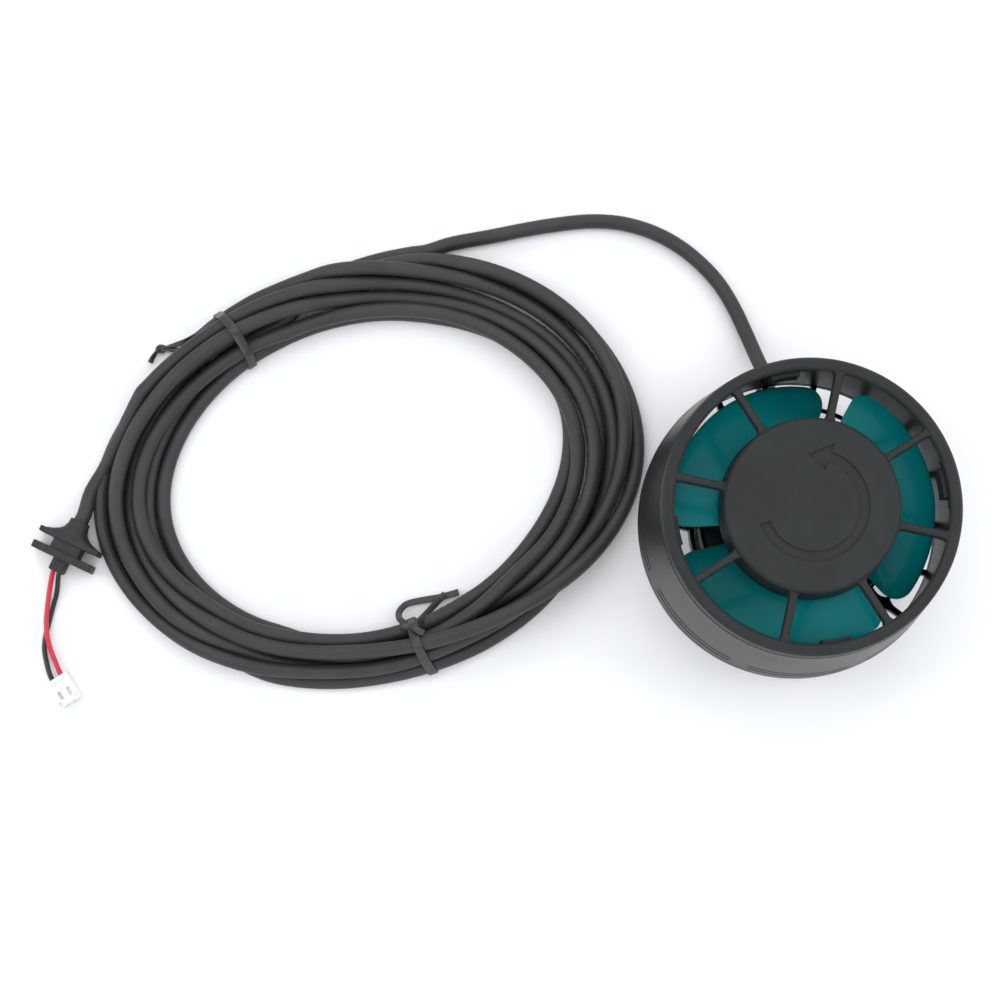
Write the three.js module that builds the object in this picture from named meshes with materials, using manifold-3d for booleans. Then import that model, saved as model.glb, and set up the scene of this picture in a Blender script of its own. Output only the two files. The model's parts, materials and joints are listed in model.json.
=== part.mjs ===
// Small submersible circulation pump: a guarded propeller driven by a magnet rotor, with its cable.
// Units are millimetres and +Z is up. The pump stands on its back pad with its guard facing up, and
// the origin is the centre of the pad's underside. The cable lies on the same surface, wound in a coil.
import * as THREE from 'three';
import { mergeVertices } from 'three/addons/utils/BufferGeometryUtils.js';
import Module from 'manifold-3d';

const wasm = await Module();
wasm.setup();

// Driving dimensions
const GAP = 0.3;
const ROUND = 40;
const SMALL_ROUND = 28;
const TINY_ROUND = 16;
const FULL_TURN = 2 * Math.PI;
const DEGREE = Math.PI / 180;

// Pump envelope
const FRONT_RADIUS = 35;
const REAR_RADIUS = 38.4;
const DUCT_BACK_RADIUS = 35.2;
const WALL = 1.7;
const RIM_FRONT_Z = 60;
const RIM_BACK_Z = 56.3;
const SHROUD_FRONT_Z = RIM_BACK_Z - GAP;
const SHROUD_BACK_Z = 22.6;
const OPENING_RADIUS = 32.1;

// Guard
const SPOKES = 8;
const FIRST_SPOKE = 32.5 * DEGREE;
const SPOKE_WIDTH = 2.2;
const SPOKE_DEPTH = 3;
const CAP_RADIUS = 20.5;
const CAP_TOP_Z = 60.8;
const CAP_BACK_Z = 50.4;
const CAP_WALL = 1.7;
const CAP_BOSS = { innerRadius: 4.3, outerRadius: 5.8, backZ: 53, floorZ: 57.6 };
const SPOKE_FRONT_Z = 59.6;

// Arrow on the cap: an arc with a head, recessed
const ARROW_DEPTH = 0.5;
const ARROW_RADIUS = 12;
const ARROW_HALF_WIDTH = 1.3;
const ARROW_HEAD_HALF_WIDTH = 3.4;
const ARROW_START = -160 * DEGREE;
const ARROW_NECK = 70 * DEGREE;
const ARROW_TIP = 95 * DEGREE;

// Bayonet between the guard and the shroud
const LUGS = 4;
const FIRST_LUG = 10 * DEGREE;
const LUG_ARC = 12 * DEGREE;
const LEDGE_ARC = 20 * DEGREE;
const LUG_BACK_Z = 50.8;
const LUG_FRONT_Z = 52.4;
const LUG_RADIUS = 33.3;
const LEDGE_RADIUS = 32.8;
const LEDGE_FRONT_Z = 54.2;
const TAB_INNER_RADIUS = 31.2;
const TAB_RADIUS = LEDGE_RADIUS - GAP;

// Grooves moulded in the shroud beside its back rim
const GROOVE_SETS = 8;
const GROOVE_ARC = 38 * DEGREE;
const GROOVE_DEPTH = 0.5;
const GROOVE_WIDTH = 0.8;
const GROOVE_Z = [26.2, 29.4];

// Rear inlet cage
const RIBS = 18;
const RIB_THICKNESS = 1.5;
const COLLAR_FRONT_Z = 19.6;
const COLLAR_WALL = 1.2;
const MIDDLE_HOOP = { innerRadius: 29.6, outerRadius: 31, backZ: 16.4, frontZ: 18.4 };
const HOOP_BACK_Z = 19.4;

// Motor housing
const CAN_RADIUS = 24;
const CAN_WALL = 1.8;
const CAN_BACK_Z = 13.2;
const CAN_FRONT_Z = 32;
const WELL_RADIUS = 9;
const WELL_WALL = 1.2;
const WELL_FLOOR_Z = 15.5;
const WELL_FLOOR = 1.5;
const COVER_BACK_Z = 2.3;
const COVER_FRONT_Z = 12;
const COVER_FLOOR = 2.6;
const PAD_THICKNESS = 2;
const PAD_RADIUS = 21;
const MAGNET_RADIUS = 17.6;
const MAGNET_DEPTH = 4.2;
const KEEPER_DEPTH = 1.4;

// Fasteners through the back cover
const SCREWS = 4;
const SCREW_CIRCLE = 20.2;
const SCREW_RADIUS = 1.1;
const SCREW_HEAD_RADIUS = 1.9;
const FIRST_SCREW = 15 * DEGREE;
const SCREW_TIP_Z = 16.3;
const SCREW_HEAD_FRONT_Z = 3.6;
const SCREW_SLOT_WIDTH = 0.6;
const BOSS_RADIUS = 2.3;
const BOSS_FRONT_Z = 18;

// Stator
const TEETH = 6;
const TOOTH_WIDTH = 4;
const TOOTH_TIP_RADIUS = 10.7;
const YOKE_INNER_RADIUS = 18.2;
const YOKE_RADIUS = 21.5;
const STATOR_BACK_Z = 18.5;
const STATOR_DEPTH = 8.5;
const SHOE_ARC = 42 * DEGREE;
const SHOE_THICKNESS = 1.2;
const WINDING_INNER_RADIUS = 12.3;
const WINDING_RADIUS = 17;
const WINDING_THICKNESS = 1.7;
const BOARD_RADIUS = 17.5;
const BOARD_BACK_Z = 14.2;
const BOARD_THICKNESS = 1.2;
const CHIPS = 5;
const CHIP_SIZE = [3.6, 3, 1.2];
const CHIP_CIRCLE = 14.2;

// Rotor
const SHAFT_RADIUS = 1.5;
const BORE_RADIUS = 1.9;
const HUB_RADIUS = 16.5;
const HUB_BACK_Z = 33.3;
const HUB_FRONT_Z = 49.5;
const STEM_RADIUS = 3.2;
const STEM_BACK_Z = 19.2;
const ROTOR_MAGNET = { outerRadius: 7.5, backZ: 19.6, frontZ: 31 };
const ROTOR_SLEEVE = { innerRadius: 7.8, outerRadius: 8.3, backZ: 19.4, frontZ: 31.6 };
const SHAFT_FRONT_Z = 57.2;
const FRONT_BUSH = { outerRadius: 4, backZ: 51.4, frontZ: 57.3 };
const REAR_BUSH = { outerRadius: 5.5, frontZ: 17.9 };
const REAR_WASHER = { outerRadius: 3.3, backZ: 18.2, frontZ: 18.9 };
const FRONT_WASHER = { outerRadius: 4, backZ: 49.9, frontZ: 51 };
const BLADES = 3;
const FIRST_BLADE = 15 * DEGREE;
const TIP_RADIUS = 32.3;
const BLADE_HALF_ARC = 55 * DEGREE;
const BLADE_MIDDLE_Z = 40.4;
const BLADE_PITCH_DROP = 11;
const BLADE_THICKNESS = 1.6;
const BLADE_CORNER_START = 0.66;
const BLADE_TIP_NARROWING = 0.2;
const BLADE_SWEEP = 4 * DEGREE;

// Cable
const CABLE_RADIUS = 1.9;
const CABLE_SIDES = 8;
const WIRE_RADIUS = 0.65;
const EXIT_ANGLE = 97 * DEGREE;
const EXIT_Z = 7.2;
const GLAND_LENGTH = 13;
const COIL_OUTSIDE = { centre: [-106, 16.2], radii: [71.4, 53.2], lean: 16.5 * DEGREE };
const COIL_INSIDE = { centre: [-107.5, 14.5], radii: [50.6, 40.2], lean: 21 * DEGREE };
const COIL_HEIGHT = 8.6;
const COIL_FOOT = 1.6;
const COIL_SHOULDER = 3.2;

// Wire ties round the coil: the middle of the bundle, the way across it and half its width there
const TIE_WIDTH = 2.2;
const TIE_THICKNESS = 0.5;
const UPPER_TIE = { centre: [-141.1, 49.9], across: 123.4 * DEGREE, halfWidth: 7.5 };
const LOWER_TIE = { centre: [-92.7, -29.2], across: -68 * DEGREE, halfWidth: 6 };

// Panel grommet and connector on the end of the cable
const GROMMET_CENTRE = [-182.6, -2.6, 3.6];
const GROMMET_ANGLE = -115 * DEGREE;
const GROMMET_NOSE = 5.7;
const FLANGE_WIDTH = 16.4;
const FLANGE_HEIGHT = 6.8;
const FLANGE_THICKNESS = 1.5;
const LOCK_FLANGE_THICKNESS = 2;
const LOCK_FLANGE_X = 4.3;
const NECK_SIZE = [4, 7.8, 5.6];
const STUB_SIZE = [3.6, 4, 4];
const CONNECTOR_CENTRE = [-183.6, -40.5, 2.3];
const CONNECTOR_ANGLE = -57 * DEGREE;
const CONNECTOR_SIZE = [7.4, 6, 4.4];
const CONTACT_PITCH = 2.5;
const CONTACT_SIZE = [5.4, 0.9, 1.1];

// Materials, one for each kind of surface
const charcoal = { color: 0x35383a, roughness: 0.62, metalness: 0 };
const satinBlack = { color: 0x2a2d30, roughness: 0.38, metalness: 0 };
const rubberBlack = { color: 0x242526, roughness: 0.85, metalness: 0 };
const teal = { color: 0x0a6468, roughness: 0.25, metalness: 0 };
const steel = { color: 0xa8abae, roughness: 0.3, metalness: 1 };
const magnetGrey = { color: 0x5a5c60, roughness: 0.4, metalness: 1 };
const lamination = { color: 0x6c6f73, roughness: 0.5, metalness: 1 };
const copper = { color: 0xb4622d, roughness: 0.35, metalness: 1 };
const boardGreen = { color: 0x1f5c38, roughness: 0.5, metalness: 0 };
const ceramicWhite = { color: 0xe8e6df, roughness: 0.2, metalness: 0 };
const washerPlastic = { color: 0xd8d4c6, roughness: 0.4, metalness: 0 };
const nylonWhite = { color: 0xe9e9e4, roughness: 0.45, metalness: 0 };
const tinned = { color: 0xc9c6bb, roughness: 0.35, metalness: 1 };
const wireRed = { color: 0xc02038, roughness: 0.5, metalness: 0 };

// A named mesh of the object
function piece(name, geometry, look) {
  const mesh = new THREE.Mesh(geometry, new THREE.MeshStandardMaterial(look));
  mesh.name = name;
  return mesh;
}

// A closed geometry as a solid that can be joined and cut
function toSolid(geometry) {
  const bare = geometry.clone();
  bare.deleteAttribute('normal');
  bare.deleteAttribute('uv');
  const merged = mergeVertices(bare, 1e-4);
  const mesh = new wasm.Mesh({
    numProp: 3,
    vertProperties: new Float32Array(merged.attributes.position.array),
    triVerts: new Uint32Array(merged.index.array),
  });
  return new wasm.Manifold(mesh);
}

function toGeometry(solid) {
  const mesh = solid.getMesh();
  const geometry = new THREE.BufferGeometry();
  geometry.setAttribute('position', new THREE.BufferAttribute(new Float32Array(mesh.vertProperties), 3));
  geometry.setIndex(new THREE.BufferAttribute(new Uint32Array(mesh.triVerts), 1));
  geometry.computeVertexNormals();
  return geometry;
}

function join(geometries) {
  const solids = geometries.map(toSolid);
  return toGeometry(solids.reduce((whole, next) => whole.add(next)));
}

function cut(body, tools) {
  const solids = tools.map(toSolid);
  return toGeometry(solids.reduce((whole, next) => whole.subtract(next), toSolid(body)));
}

// A round piece about Z. The profile is [radius, z] pairs, up the outside and down the inside.
function turned(profile, sides = ROUND, start = 0, sweep = FULL_TURN) {
  const outline = profile.map(([radius, z]) => new THREE.Vector2(radius, z));
  const geometry = new THREE.LatheGeometry(outline, sides, start, sweep);
  geometry.rotateX(Math.PI / 2);
  return geometry;
}

function ring(innerRadius, outerRadius, backZ, frontZ, sides = ROUND) {
  const profile = [[innerRadius, backZ], [outerRadius, backZ], [outerRadius, frontZ]];
  profile.push([innerRadius, frontZ], [innerRadius, backZ]);
  return turned(profile, sides);
}

function disc(radius, backZ, frontZ, sides = ROUND) {
  return turned([[0, backZ], [radius, backZ], [radius, frontZ], [0, frontZ]], sides);
}

// A plate cut along an arc: the part of a ring between two angles
function arcBlock(innerRadius, outerRadius, backZ, frontZ, middle, arc) {
  const outline = new THREE.Shape();
  outline.absarc(0, 0, outerRadius, middle - arc / 2, middle + arc / 2, false);
  outline.absarc(0, 0, innerRadius, middle + arc / 2, middle - arc / 2, true);
  outline.closePath();
  const options = { depth: frontZ - backZ, bevelEnabled: false, curveSegments: 5 };
  const geometry = new THREE.ExtrudeGeometry(outline, options);
  geometry.translate(0, 0, backZ);
  return geometry;
}

function box(width, depth, height, x = 0, y = 0, z = 0) {
  const geometry = new THREE.BoxGeometry(width, depth, height);
  geometry.translate(x, y, z);
  return geometry;
}

// A box from one radius to another, turned about Z
function radialBar(fromRadius, toRadius, width, backZ, frontZ, angle) {
  const middle = (fromRadius + toRadius) / 2;
  const geometry = box(toRadius - fromRadius, width, frontZ - backZ, middle, 0, (backZ + frontZ) / 2);
  geometry.rotateZ(angle);
  return geometry;
}

function atAngle(geometry, angle) {
  const copy = geometry.clone();
  copy.rotateZ(angle);
  return copy;
}

function repeated(count, first, make) {
  return Array.from({ length: count }, (_, index) => make(first + (index * FULL_TURN) / count, index));
}

// A tube of constant section along a curve through the points
function tube(points, radius, sides, steps) {
  const path = new THREE.CatmullRomCurve3(points.map((point) => new THREE.Vector3(...point)));
  const section = new THREE.Shape();
  for (let side = 0; side < sides; side += 1) {
    const angle = ((side + 0.5) * FULL_TURN) / sides;
    const corner = [radius * Math.cos(angle), radius * Math.sin(angle)];
    if (side === 0) section.moveTo(...corner);
    else section.lineTo(...corner);
  }
  section.closePath();
  return new THREE.ExtrudeGeometry(section, { extrudePath: path, steps, bevelEnabled: false });
}

// Radius of the shroud's outside at a height
function shroudRadius(z) {
  const fraction = (z - SHROUD_BACK_Z) / (RIM_FRONT_Z - SHROUD_BACK_Z);
  return REAR_RADIUS + (FRONT_RADIUS - REAR_RADIUS) * fraction;
}

// Guard: rim, spokes, centre cap and the bayonet tabs, in one moulding
function guardRim() {
  const outer = shroudRadius(RIM_BACK_Z);
  return turned([
    [OPENING_RADIUS + 0.3, RIM_BACK_Z], [outer, RIM_BACK_Z], [FRONT_RADIUS, 59.2],
    [FRONT_RADIUS - 0.7, RIM_FRONT_Z], [OPENING_RADIUS + 0.6, RIM_FRONT_Z], [OPENING_RADIUS, 59.3],
    [OPENING_RADIUS + 0.3, RIM_BACK_Z],
  ]);
}

function guardCap() {
  const inner = CAP_RADIUS - CAP_WALL;
  const ceiling = CAP_TOP_Z - CAP_WALL;
  const { innerRadius, outerRadius, backZ, floorZ } = CAP_BOSS;
  return turned([
    [innerRadius, backZ], [outerRadius, backZ], [outerRadius, ceiling], [inner - 1.4, ceiling],
    [inner, ceiling - 1.4], [inner + 0.2, CAP_BACK_Z], [CAP_RADIUS + 0.2, CAP_BACK_Z],
    [CAP_RADIUS, 59.8], [CAP_RADIUS - 0.6, CAP_TOP_Z], [0, CAP_TOP_Z],
    [0, floorZ], [innerRadius, floorZ], [innerRadius, backZ],
  ]);
}

// A curved arrow that shows which way the guard turns to come off
function turnArrow() {
  const outline = new THREE.Shape();
  const outer = ARROW_RADIUS + ARROW_HEAD_HALF_WIDTH;
  const inner = ARROW_RADIUS - ARROW_HEAD_HALF_WIDTH;
  outline.absarc(0, 0, ARROW_RADIUS + ARROW_HALF_WIDTH, ARROW_START, ARROW_NECK, false);
  outline.lineTo(outer * Math.cos(ARROW_NECK), outer * Math.sin(ARROW_NECK));
  outline.lineTo(ARROW_RADIUS * Math.cos(ARROW_TIP), ARROW_RADIUS * Math.sin(ARROW_TIP));
  outline.lineTo(inner * Math.cos(ARROW_NECK), inner * Math.sin(ARROW_NECK));
  outline.absarc(0, 0, ARROW_RADIUS - ARROW_HALF_WIDTH, ARROW_NECK, ARROW_START, true);
  outline.closePath();
  const options = { depth: 2 * ARROW_DEPTH, bevelEnabled: false, curveSegments: 12 };
  const geometry = new THREE.ExtrudeGeometry(outline, options);
  geometry.translate(0, 0, CAP_TOP_Z - ARROW_DEPTH);
  return geometry;
}

function frontGuard() {
  const spokeBackZ = SPOKE_FRONT_Z - SPOKE_DEPTH;
  const reach = OPENING_RADIUS + 0.8;
  const spokes = repeated(SPOKES, FIRST_SPOKE, (angle) => {
    return radialBar(CAP_RADIUS - 1, reach, SPOKE_WIDTH, spokeBackZ, SPOKE_FRONT_Z, angle);
  });
  const tabs = repeated(LUGS, FIRST_LUG, (angle) => {
    return arcBlock(TAB_INNER_RADIUS, TAB_RADIUS, LUG_BACK_Z, RIM_BACK_Z + 0.6, angle, LUG_ARC);
  });
  const lugs = repeated(LUGS, FIRST_LUG, (angle) => {
    return arcBlock(TAB_RADIUS - 0.6, LUG_RADIUS, LUG_BACK_Z, LUG_FRONT_Z, angle, LUG_ARC);
  });
  const whole = join([guardRim(), guardCap(), ...spokes, ...tabs, ...lugs]);
  return piece('front_guard', cut(whole, [turnArrow()]), charcoal);
}

function frontBush() {
  return piece('front_bush', sizedRing(FRONT_BUSH, TINY_ROUND), rubberBlack);
}

// Shroud: the outer wall around the propeller, with the bayonet ledges and moulded grooves
function shroud() {
  const frontRadius = shroudRadius(SHROUD_FRONT_Z);
  const wall = turned([
    [DUCT_BACK_RADIUS, SHROUD_BACK_Z], [REAR_RADIUS, SHROUD_BACK_Z], [frontRadius, SHROUD_FRONT_Z],
    [frontRadius - WALL, SHROUD_FRONT_Z], [DUCT_BACK_RADIUS, SHROUD_BACK_Z],
  ]);
  const ledgeReach = frontRadius - WALL / 2;
  const ledgeBackZ = LUG_FRONT_Z + GAP;
  const ledges = repeated(LUGS, FIRST_LUG, (angle) => {
    return arcBlock(LEDGE_RADIUS, ledgeReach, ledgeBackZ, LEDGE_FRONT_Z, angle, LEDGE_ARC);
  });
  const grooves = GROOVE_Z.flatMap((z) => repeated(GROOVE_SETS, 0, (angle) => {
    const bottom = shroudRadius(z) - GROOVE_DEPTH;
    return arcBlock(bottom, REAR_RADIUS + 1, z, z + GROOVE_WIDTH, angle, GROOVE_ARC);
  }));
  return piece('shroud', cut(join([wall, ...ledges]), grooves), satinBlack);
}

// Rear cage: curved inlet ribs that carry the shroud on the motor housing
function rearCage() {
  const innerRadius = CAN_RADIUS + GAP;
  const hoopFront = SHROUD_BACK_Z - GAP;
  const collar = ring(innerRadius, innerRadius + COLLAR_WALL, CAN_BACK_Z + 0.4, COLLAR_FRONT_Z);
  const { innerRadius: hoopInner, outerRadius: hoopOuter, backZ, frontZ } = MIDDLE_HOOP;
  const middleHoop = ring(hoopInner, hoopOuter, backZ, frontZ);
  const outerHoop = ring(DUCT_BACK_RADIUS, REAR_RADIUS, HOOP_BACK_Z, hoopFront);
  const outline = new THREE.Shape();
  outline.moveTo(innerRadius + 0.8, CAN_BACK_Z + 0.8);
  outline.quadraticCurveTo(33.6, 14.2, REAR_RADIUS - 0.4, HOOP_BACK_Z + 0.5);
  outline.lineTo(REAR_RADIUS - 0.9, hoopFront - 0.4);
  outline.quadraticCurveTo(33.6, 17.8, innerRadius + 0.8, 17.6);
  outline.closePath();
  const options = { depth: RIB_THICKNESS, bevelEnabled: false, curveSegments: 3 };
  const rib = new THREE.ExtrudeGeometry(outline, options);
  rib.translate(0, 0, -RIB_THICKNESS / 2);
  rib.rotateX(Math.PI / 2);
  const ribs = repeated(RIBS, 0, (angle) => atAngle(rib, angle));
  return piece('rear_cage', join([collar, middleHoop, outerHoop, ...ribs]), satinBlack);
}

// Motor housing: a can with a blind well for the rotor, open at the back
function motorCan() {
  const inside = CAN_RADIUS - CAN_WALL;
  const wellOutside = WELL_RADIUS + WELL_WALL;
  const ceiling = CAN_FRONT_Z - CAN_WALL;
  const shell = turned([
    [0, WELL_FLOOR_Z - WELL_FLOOR], [wellOutside, WELL_FLOOR_Z - WELL_FLOOR],
    [wellOutside, ceiling], [inside, ceiling],
    [inside, CAN_BACK_Z], [CAN_RADIUS, CAN_BACK_Z], [CAN_RADIUS, CAN_FRONT_Z - 1.2],
    [CAN_RADIUS - 0.4, CAN_FRONT_Z - 0.4], [CAN_RADIUS - 1.2, CAN_FRONT_Z], [WELL_RADIUS, CAN_FRONT_Z],
    [WELL_RADIUS, WELL_FLOOR_Z], [0, WELL_FLOOR_Z],
  ]);
  const bosses = repeated(SCREWS, FIRST_SCREW, (angle) => {
    const boss = disc(BOSS_RADIUS, CAN_BACK_Z, BOSS_FRONT_Z, TINY_ROUND);
    boss.translate(SCREW_CIRCLE, 0, 0);
    return atAngle(boss, angle);
  });
  const holes = repeated(SCREWS, FIRST_SCREW, (angle) => {
    const hole = disc(SCREW_RADIUS + GAP, CAN_BACK_Z - 1, SCREW_TIP_Z + GAP, TINY_ROUND);
    hole.translate(SCREW_CIRCLE, 0, 0);
    return atAngle(hole, angle);
  });
  return piece('motor_can', cut(join([shell, ...bosses]), holes), satinBlack);
}

function backCover() {
  const inside = CAN_RADIUS - CAN_WALL;
  const shell = turned([
    [0, COVER_BACK_Z], [CAN_RADIUS - 1.2, COVER_BACK_Z], [CAN_RADIUS, COVER_BACK_Z + 1.2],
    [CAN_RADIUS, COVER_FRONT_Z], [inside, COVER_FRONT_Z], [inside, COVER_BACK_Z + COVER_FLOOR],
    [0, COVER_BACK_Z + COVER_FLOOR],
  ]);
  const holes = repeated(SCREWS, FIRST_SCREW, (angle) => {
    const head = disc(SCREW_HEAD_RADIUS + GAP, COVER_BACK_Z - 1, SCREW_HEAD_FRONT_Z + GAP, TINY_ROUND);
    const shank = disc(SCREW_RADIUS + GAP, COVER_BACK_Z - 1, COVER_FRONT_Z, TINY_ROUND);
    const hole = join([head, shank]);
    hole.translate(SCREW_CIRCLE, 0, 0);
    return atAngle(hole, angle);
  });
  return piece('back_cover', cut(shell, holes), satinBlack);
}

function coverScrew(angle, index) {
  const head = disc(SCREW_HEAD_RADIUS, COVER_BACK_Z + GAP, SCREW_HEAD_FRONT_Z, TINY_ROUND);
  const shank = disc(SCREW_RADIUS, SCREW_HEAD_FRONT_Z - 0.6, SCREW_TIP_Z, TINY_ROUND);
  const slotLength = 2 * SCREW_HEAD_RADIUS + 1;
  const slot = box(SCREW_SLOT_WIDTH, slotLength, SCREW_SLOT_WIDTH, 0, 0, COVER_BACK_Z + GAP);
  const crossSlot = box(slotLength, SCREW_SLOT_WIDTH, SCREW_SLOT_WIDTH, 0, 0, COVER_BACK_Z + GAP);
  const screw = cut(join([head, shank]), [slot, crossSlot]);
  screw.translate(SCREW_CIRCLE, 0, 0);
  return piece(`cover_screw_${index + 1}`, atAngle(screw, angle), steel);
}

function rubberPad() {
  const pad = turned([
    [0, 0], [PAD_RADIUS - 0.6, 0], [PAD_RADIUS, 0.6], [PAD_RADIUS, PAD_THICKNESS], [0, PAD_THICKNESS],
  ]);
  const reliefs = repeated(SCREWS, FIRST_SCREW, (angle) => {
    const relief = disc(SCREW_HEAD_RADIUS + GAP, -1, PAD_THICKNESS + 1, TINY_ROUND);
    relief.translate(SCREW_CIRCLE, 0, 0);
    return atAngle(relief, angle);
  });
  return piece('rubber_pad', cut(pad, reliefs), rubberBlack);
}

function backParts() {
  const magnetZ = COVER_BACK_Z + COVER_FLOOR + GAP;
  const keeperZ = magnetZ + MAGNET_DEPTH + GAP;
  const sealInner = CAN_RADIUS - 1.6;
  const sealOuter = CAN_RADIUS - 0.1;
  const seal = ring(sealInner, sealOuter, COVER_FRONT_Z + GAP, CAN_BACK_Z - GAP);
  const magnet = disc(MAGNET_RADIUS, magnetZ, magnetZ + MAGNET_DEPTH, SMALL_ROUND);
  const keeper = disc(MAGNET_RADIUS, keeperZ, keeperZ + KEEPER_DEPTH, SMALL_ROUND);
  return [
    piece('mount_magnet', magnet, magnetGrey),
    piece('keeper_plate', keeper, steel),
    piece('seal_ring', seal, rubberBlack),
  ];
}

// Stator: laminated yoke with inward teeth, and a winding on each tooth
function statorCore() {
  const yoke = ring(YOKE_INNER_RADIUS, YOKE_RADIUS, STATOR_BACK_Z, STATOR_BACK_Z + STATOR_DEPTH);
  const front = STATOR_BACK_Z + STATOR_DEPTH;
  const toothFrom = TOOTH_TIP_RADIUS + 0.5;
  const toothTo = YOKE_INNER_RADIUS + 1;
  const teeth = repeated(TEETH, 0, (angle) => {
    return radialBar(toothFrom, toothTo, TOOTH_WIDTH, STATOR_BACK_Z, front, angle);
  });
  const shoeRadius = TOOTH_TIP_RADIUS + SHOE_THICKNESS;
  const shoes = repeated(TEETH, 0, (angle) => {
    return arcBlock(TOOTH_TIP_RADIUS, shoeRadius, STATOR_BACK_Z, front, angle, SHOE_ARC);
  });
  return piece('stator_core', join([yoke, ...teeth, ...shoes]), lamination);
}

function winding(angle, index) {
  const length = WINDING_RADIUS - WINDING_INNER_RADIUS;
  const innerWidth = TOOTH_WIDTH + 2 * GAP;
  const innerDepth = STATOR_DEPTH + 2 * GAP;
  const outerWidth = innerWidth + 2 * WINDING_THICKNESS;
  const outerDepth = innerDepth + 2 * WINDING_THICKNESS;
  const middleRadius = WINDING_INNER_RADIUS + length / 2;
  const middleZ = STATOR_BACK_Z + STATOR_DEPTH / 2;
  const outside = box(length, outerWidth, outerDepth, middleRadius, 0, middleZ);
  const inside = box(length + 2, innerWidth, innerDepth, middleRadius, 0, middleZ);
  return piece(`winding_${index + 1}`, atAngle(cut(outside, [inside]), angle), copper);
}

function circuitBoard() {
  const boardInner = WELL_RADIUS + WELL_WALL + 0.5;
  const boardFrontZ = BOARD_BACK_Z + BOARD_THICKNESS;
  const board = ring(boardInner, BOARD_RADIUS, BOARD_BACK_Z, boardFrontZ, SMALL_ROUND);
  const chips = repeated(CHIPS, 20 * DEGREE, (angle) => {
    return atAngle(box(...CHIP_SIZE, CHIP_CIRCLE, 0, BOARD_BACK_Z - 0.4), angle);
  });
  return piece('circuit_board', join([board, ...chips]), boardGreen);
}

// Rotor: propeller with its stem, the magnet and its sleeve, on a fixed ceramic shaft
function bladeOutline(along) {
  const past = Math.max(0, (along - BLADE_CORNER_START) / (1 - BLADE_CORNER_START));
  const round = Math.sqrt(Math.max(0, 1 - past * past));
  return 1 - BLADE_TIP_NARROWING * (1 - round);
}

function blade(angle) {
  const rootRadius = HUB_RADIUS - 1.2;
  const geometry = new THREE.BoxGeometry(1, 1, 1, 6, 10, 1);
  const position = geometry.attributes.position;
  for (let index = 0; index < position.count; index += 1) {
    const along = position.getX(index) + 0.5;
    const across = 2 * position.getY(index);
    const side = 2 * position.getZ(index);
    const radius = rootRadius + (TIP_RADIUS - rootRadius) * along;
    const turn = across * BLADE_HALF_ARC * bladeOutline(along) - BLADE_SWEEP * along;
    const thickness = BLADE_THICKNESS * (1 - 0.6 * Math.abs(across) ** 3);
    const height = BLADE_MIDDLE_Z + 0.5 * BLADE_PITCH_DROP * across + 0.5 * side * thickness;
    position.setXYZ(index, radius * Math.cos(angle + turn), radius * Math.sin(angle + turn), height);
  }
  return geometry;
}

function propeller() {
  const hub = turned([
    [BORE_RADIUS, STEM_BACK_Z], [STEM_RADIUS, STEM_BACK_Z], [STEM_RADIUS, HUB_BACK_Z],
    [HUB_RADIUS, HUB_BACK_Z], [HUB_RADIUS + 0.4, 46], [HUB_RADIUS - 2, HUB_FRONT_Z],
    [BORE_RADIUS, HUB_FRONT_Z], [BORE_RADIUS, STEM_BACK_Z],
  ], SMALL_ROUND);
  const blades = repeated(BLADES, FIRST_BLADE, blade);
  return piece('propeller', join([hub, ...blades]), teal);
}

// A ring whose sizes are given together
function sizedRing({ innerRadius = SHAFT_RADIUS + GAP, outerRadius, backZ, frontZ }, sides) {
  return ring(innerRadius, outerRadius, backZ, frontZ, sides);
}

function rotorParts() {
  const magnet = sizedRing({ ...ROTOR_MAGNET, innerRadius: STEM_RADIUS + GAP }, SMALL_ROUND);
  return [
    piece('rotor_magnet', magnet, magnetGrey),
    piece('rotor_sleeve', sizedRing(ROTOR_SLEEVE, SMALL_ROUND), steel),
  ];
}

function shaftParts() {
  const backZ = WELL_FLOOR_Z + GAP;
  return [
    piece('shaft', disc(SHAFT_RADIUS, backZ, SHAFT_FRONT_Z, TINY_ROUND), ceramicWhite),
    piece('rear_bush', sizedRing({ ...REAR_BUSH, backZ }, TINY_ROUND), rubberBlack),
    piece('rear_washer', sizedRing(REAR_WASHER, TINY_ROUND), washerPlastic),
    piece('front_washer', sizedRing(FRONT_WASHER, TINY_ROUND), washerPlastic),
  ];
}

// Cable gland: a flanged and tapered boot on the side of the back cover
function cableGland() {
  const gland = turned([
    [0, 0], [4.4, 0], [4.4, 1.4], [3.9, 2], [3.7, 3], [CABLE_RADIUS + 0.6, GLAND_LENGTH],
    [0, GLAND_LENGTH],
  ], TINY_ROUND);
  gland.rotateY(Math.PI / 2);
  gland.translate(CAN_RADIUS + GAP, 0, EXIT_Z);
  return piece('cable_gland', atAngle(gland, EXIT_ANGLE), rubberBlack);
}

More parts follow.
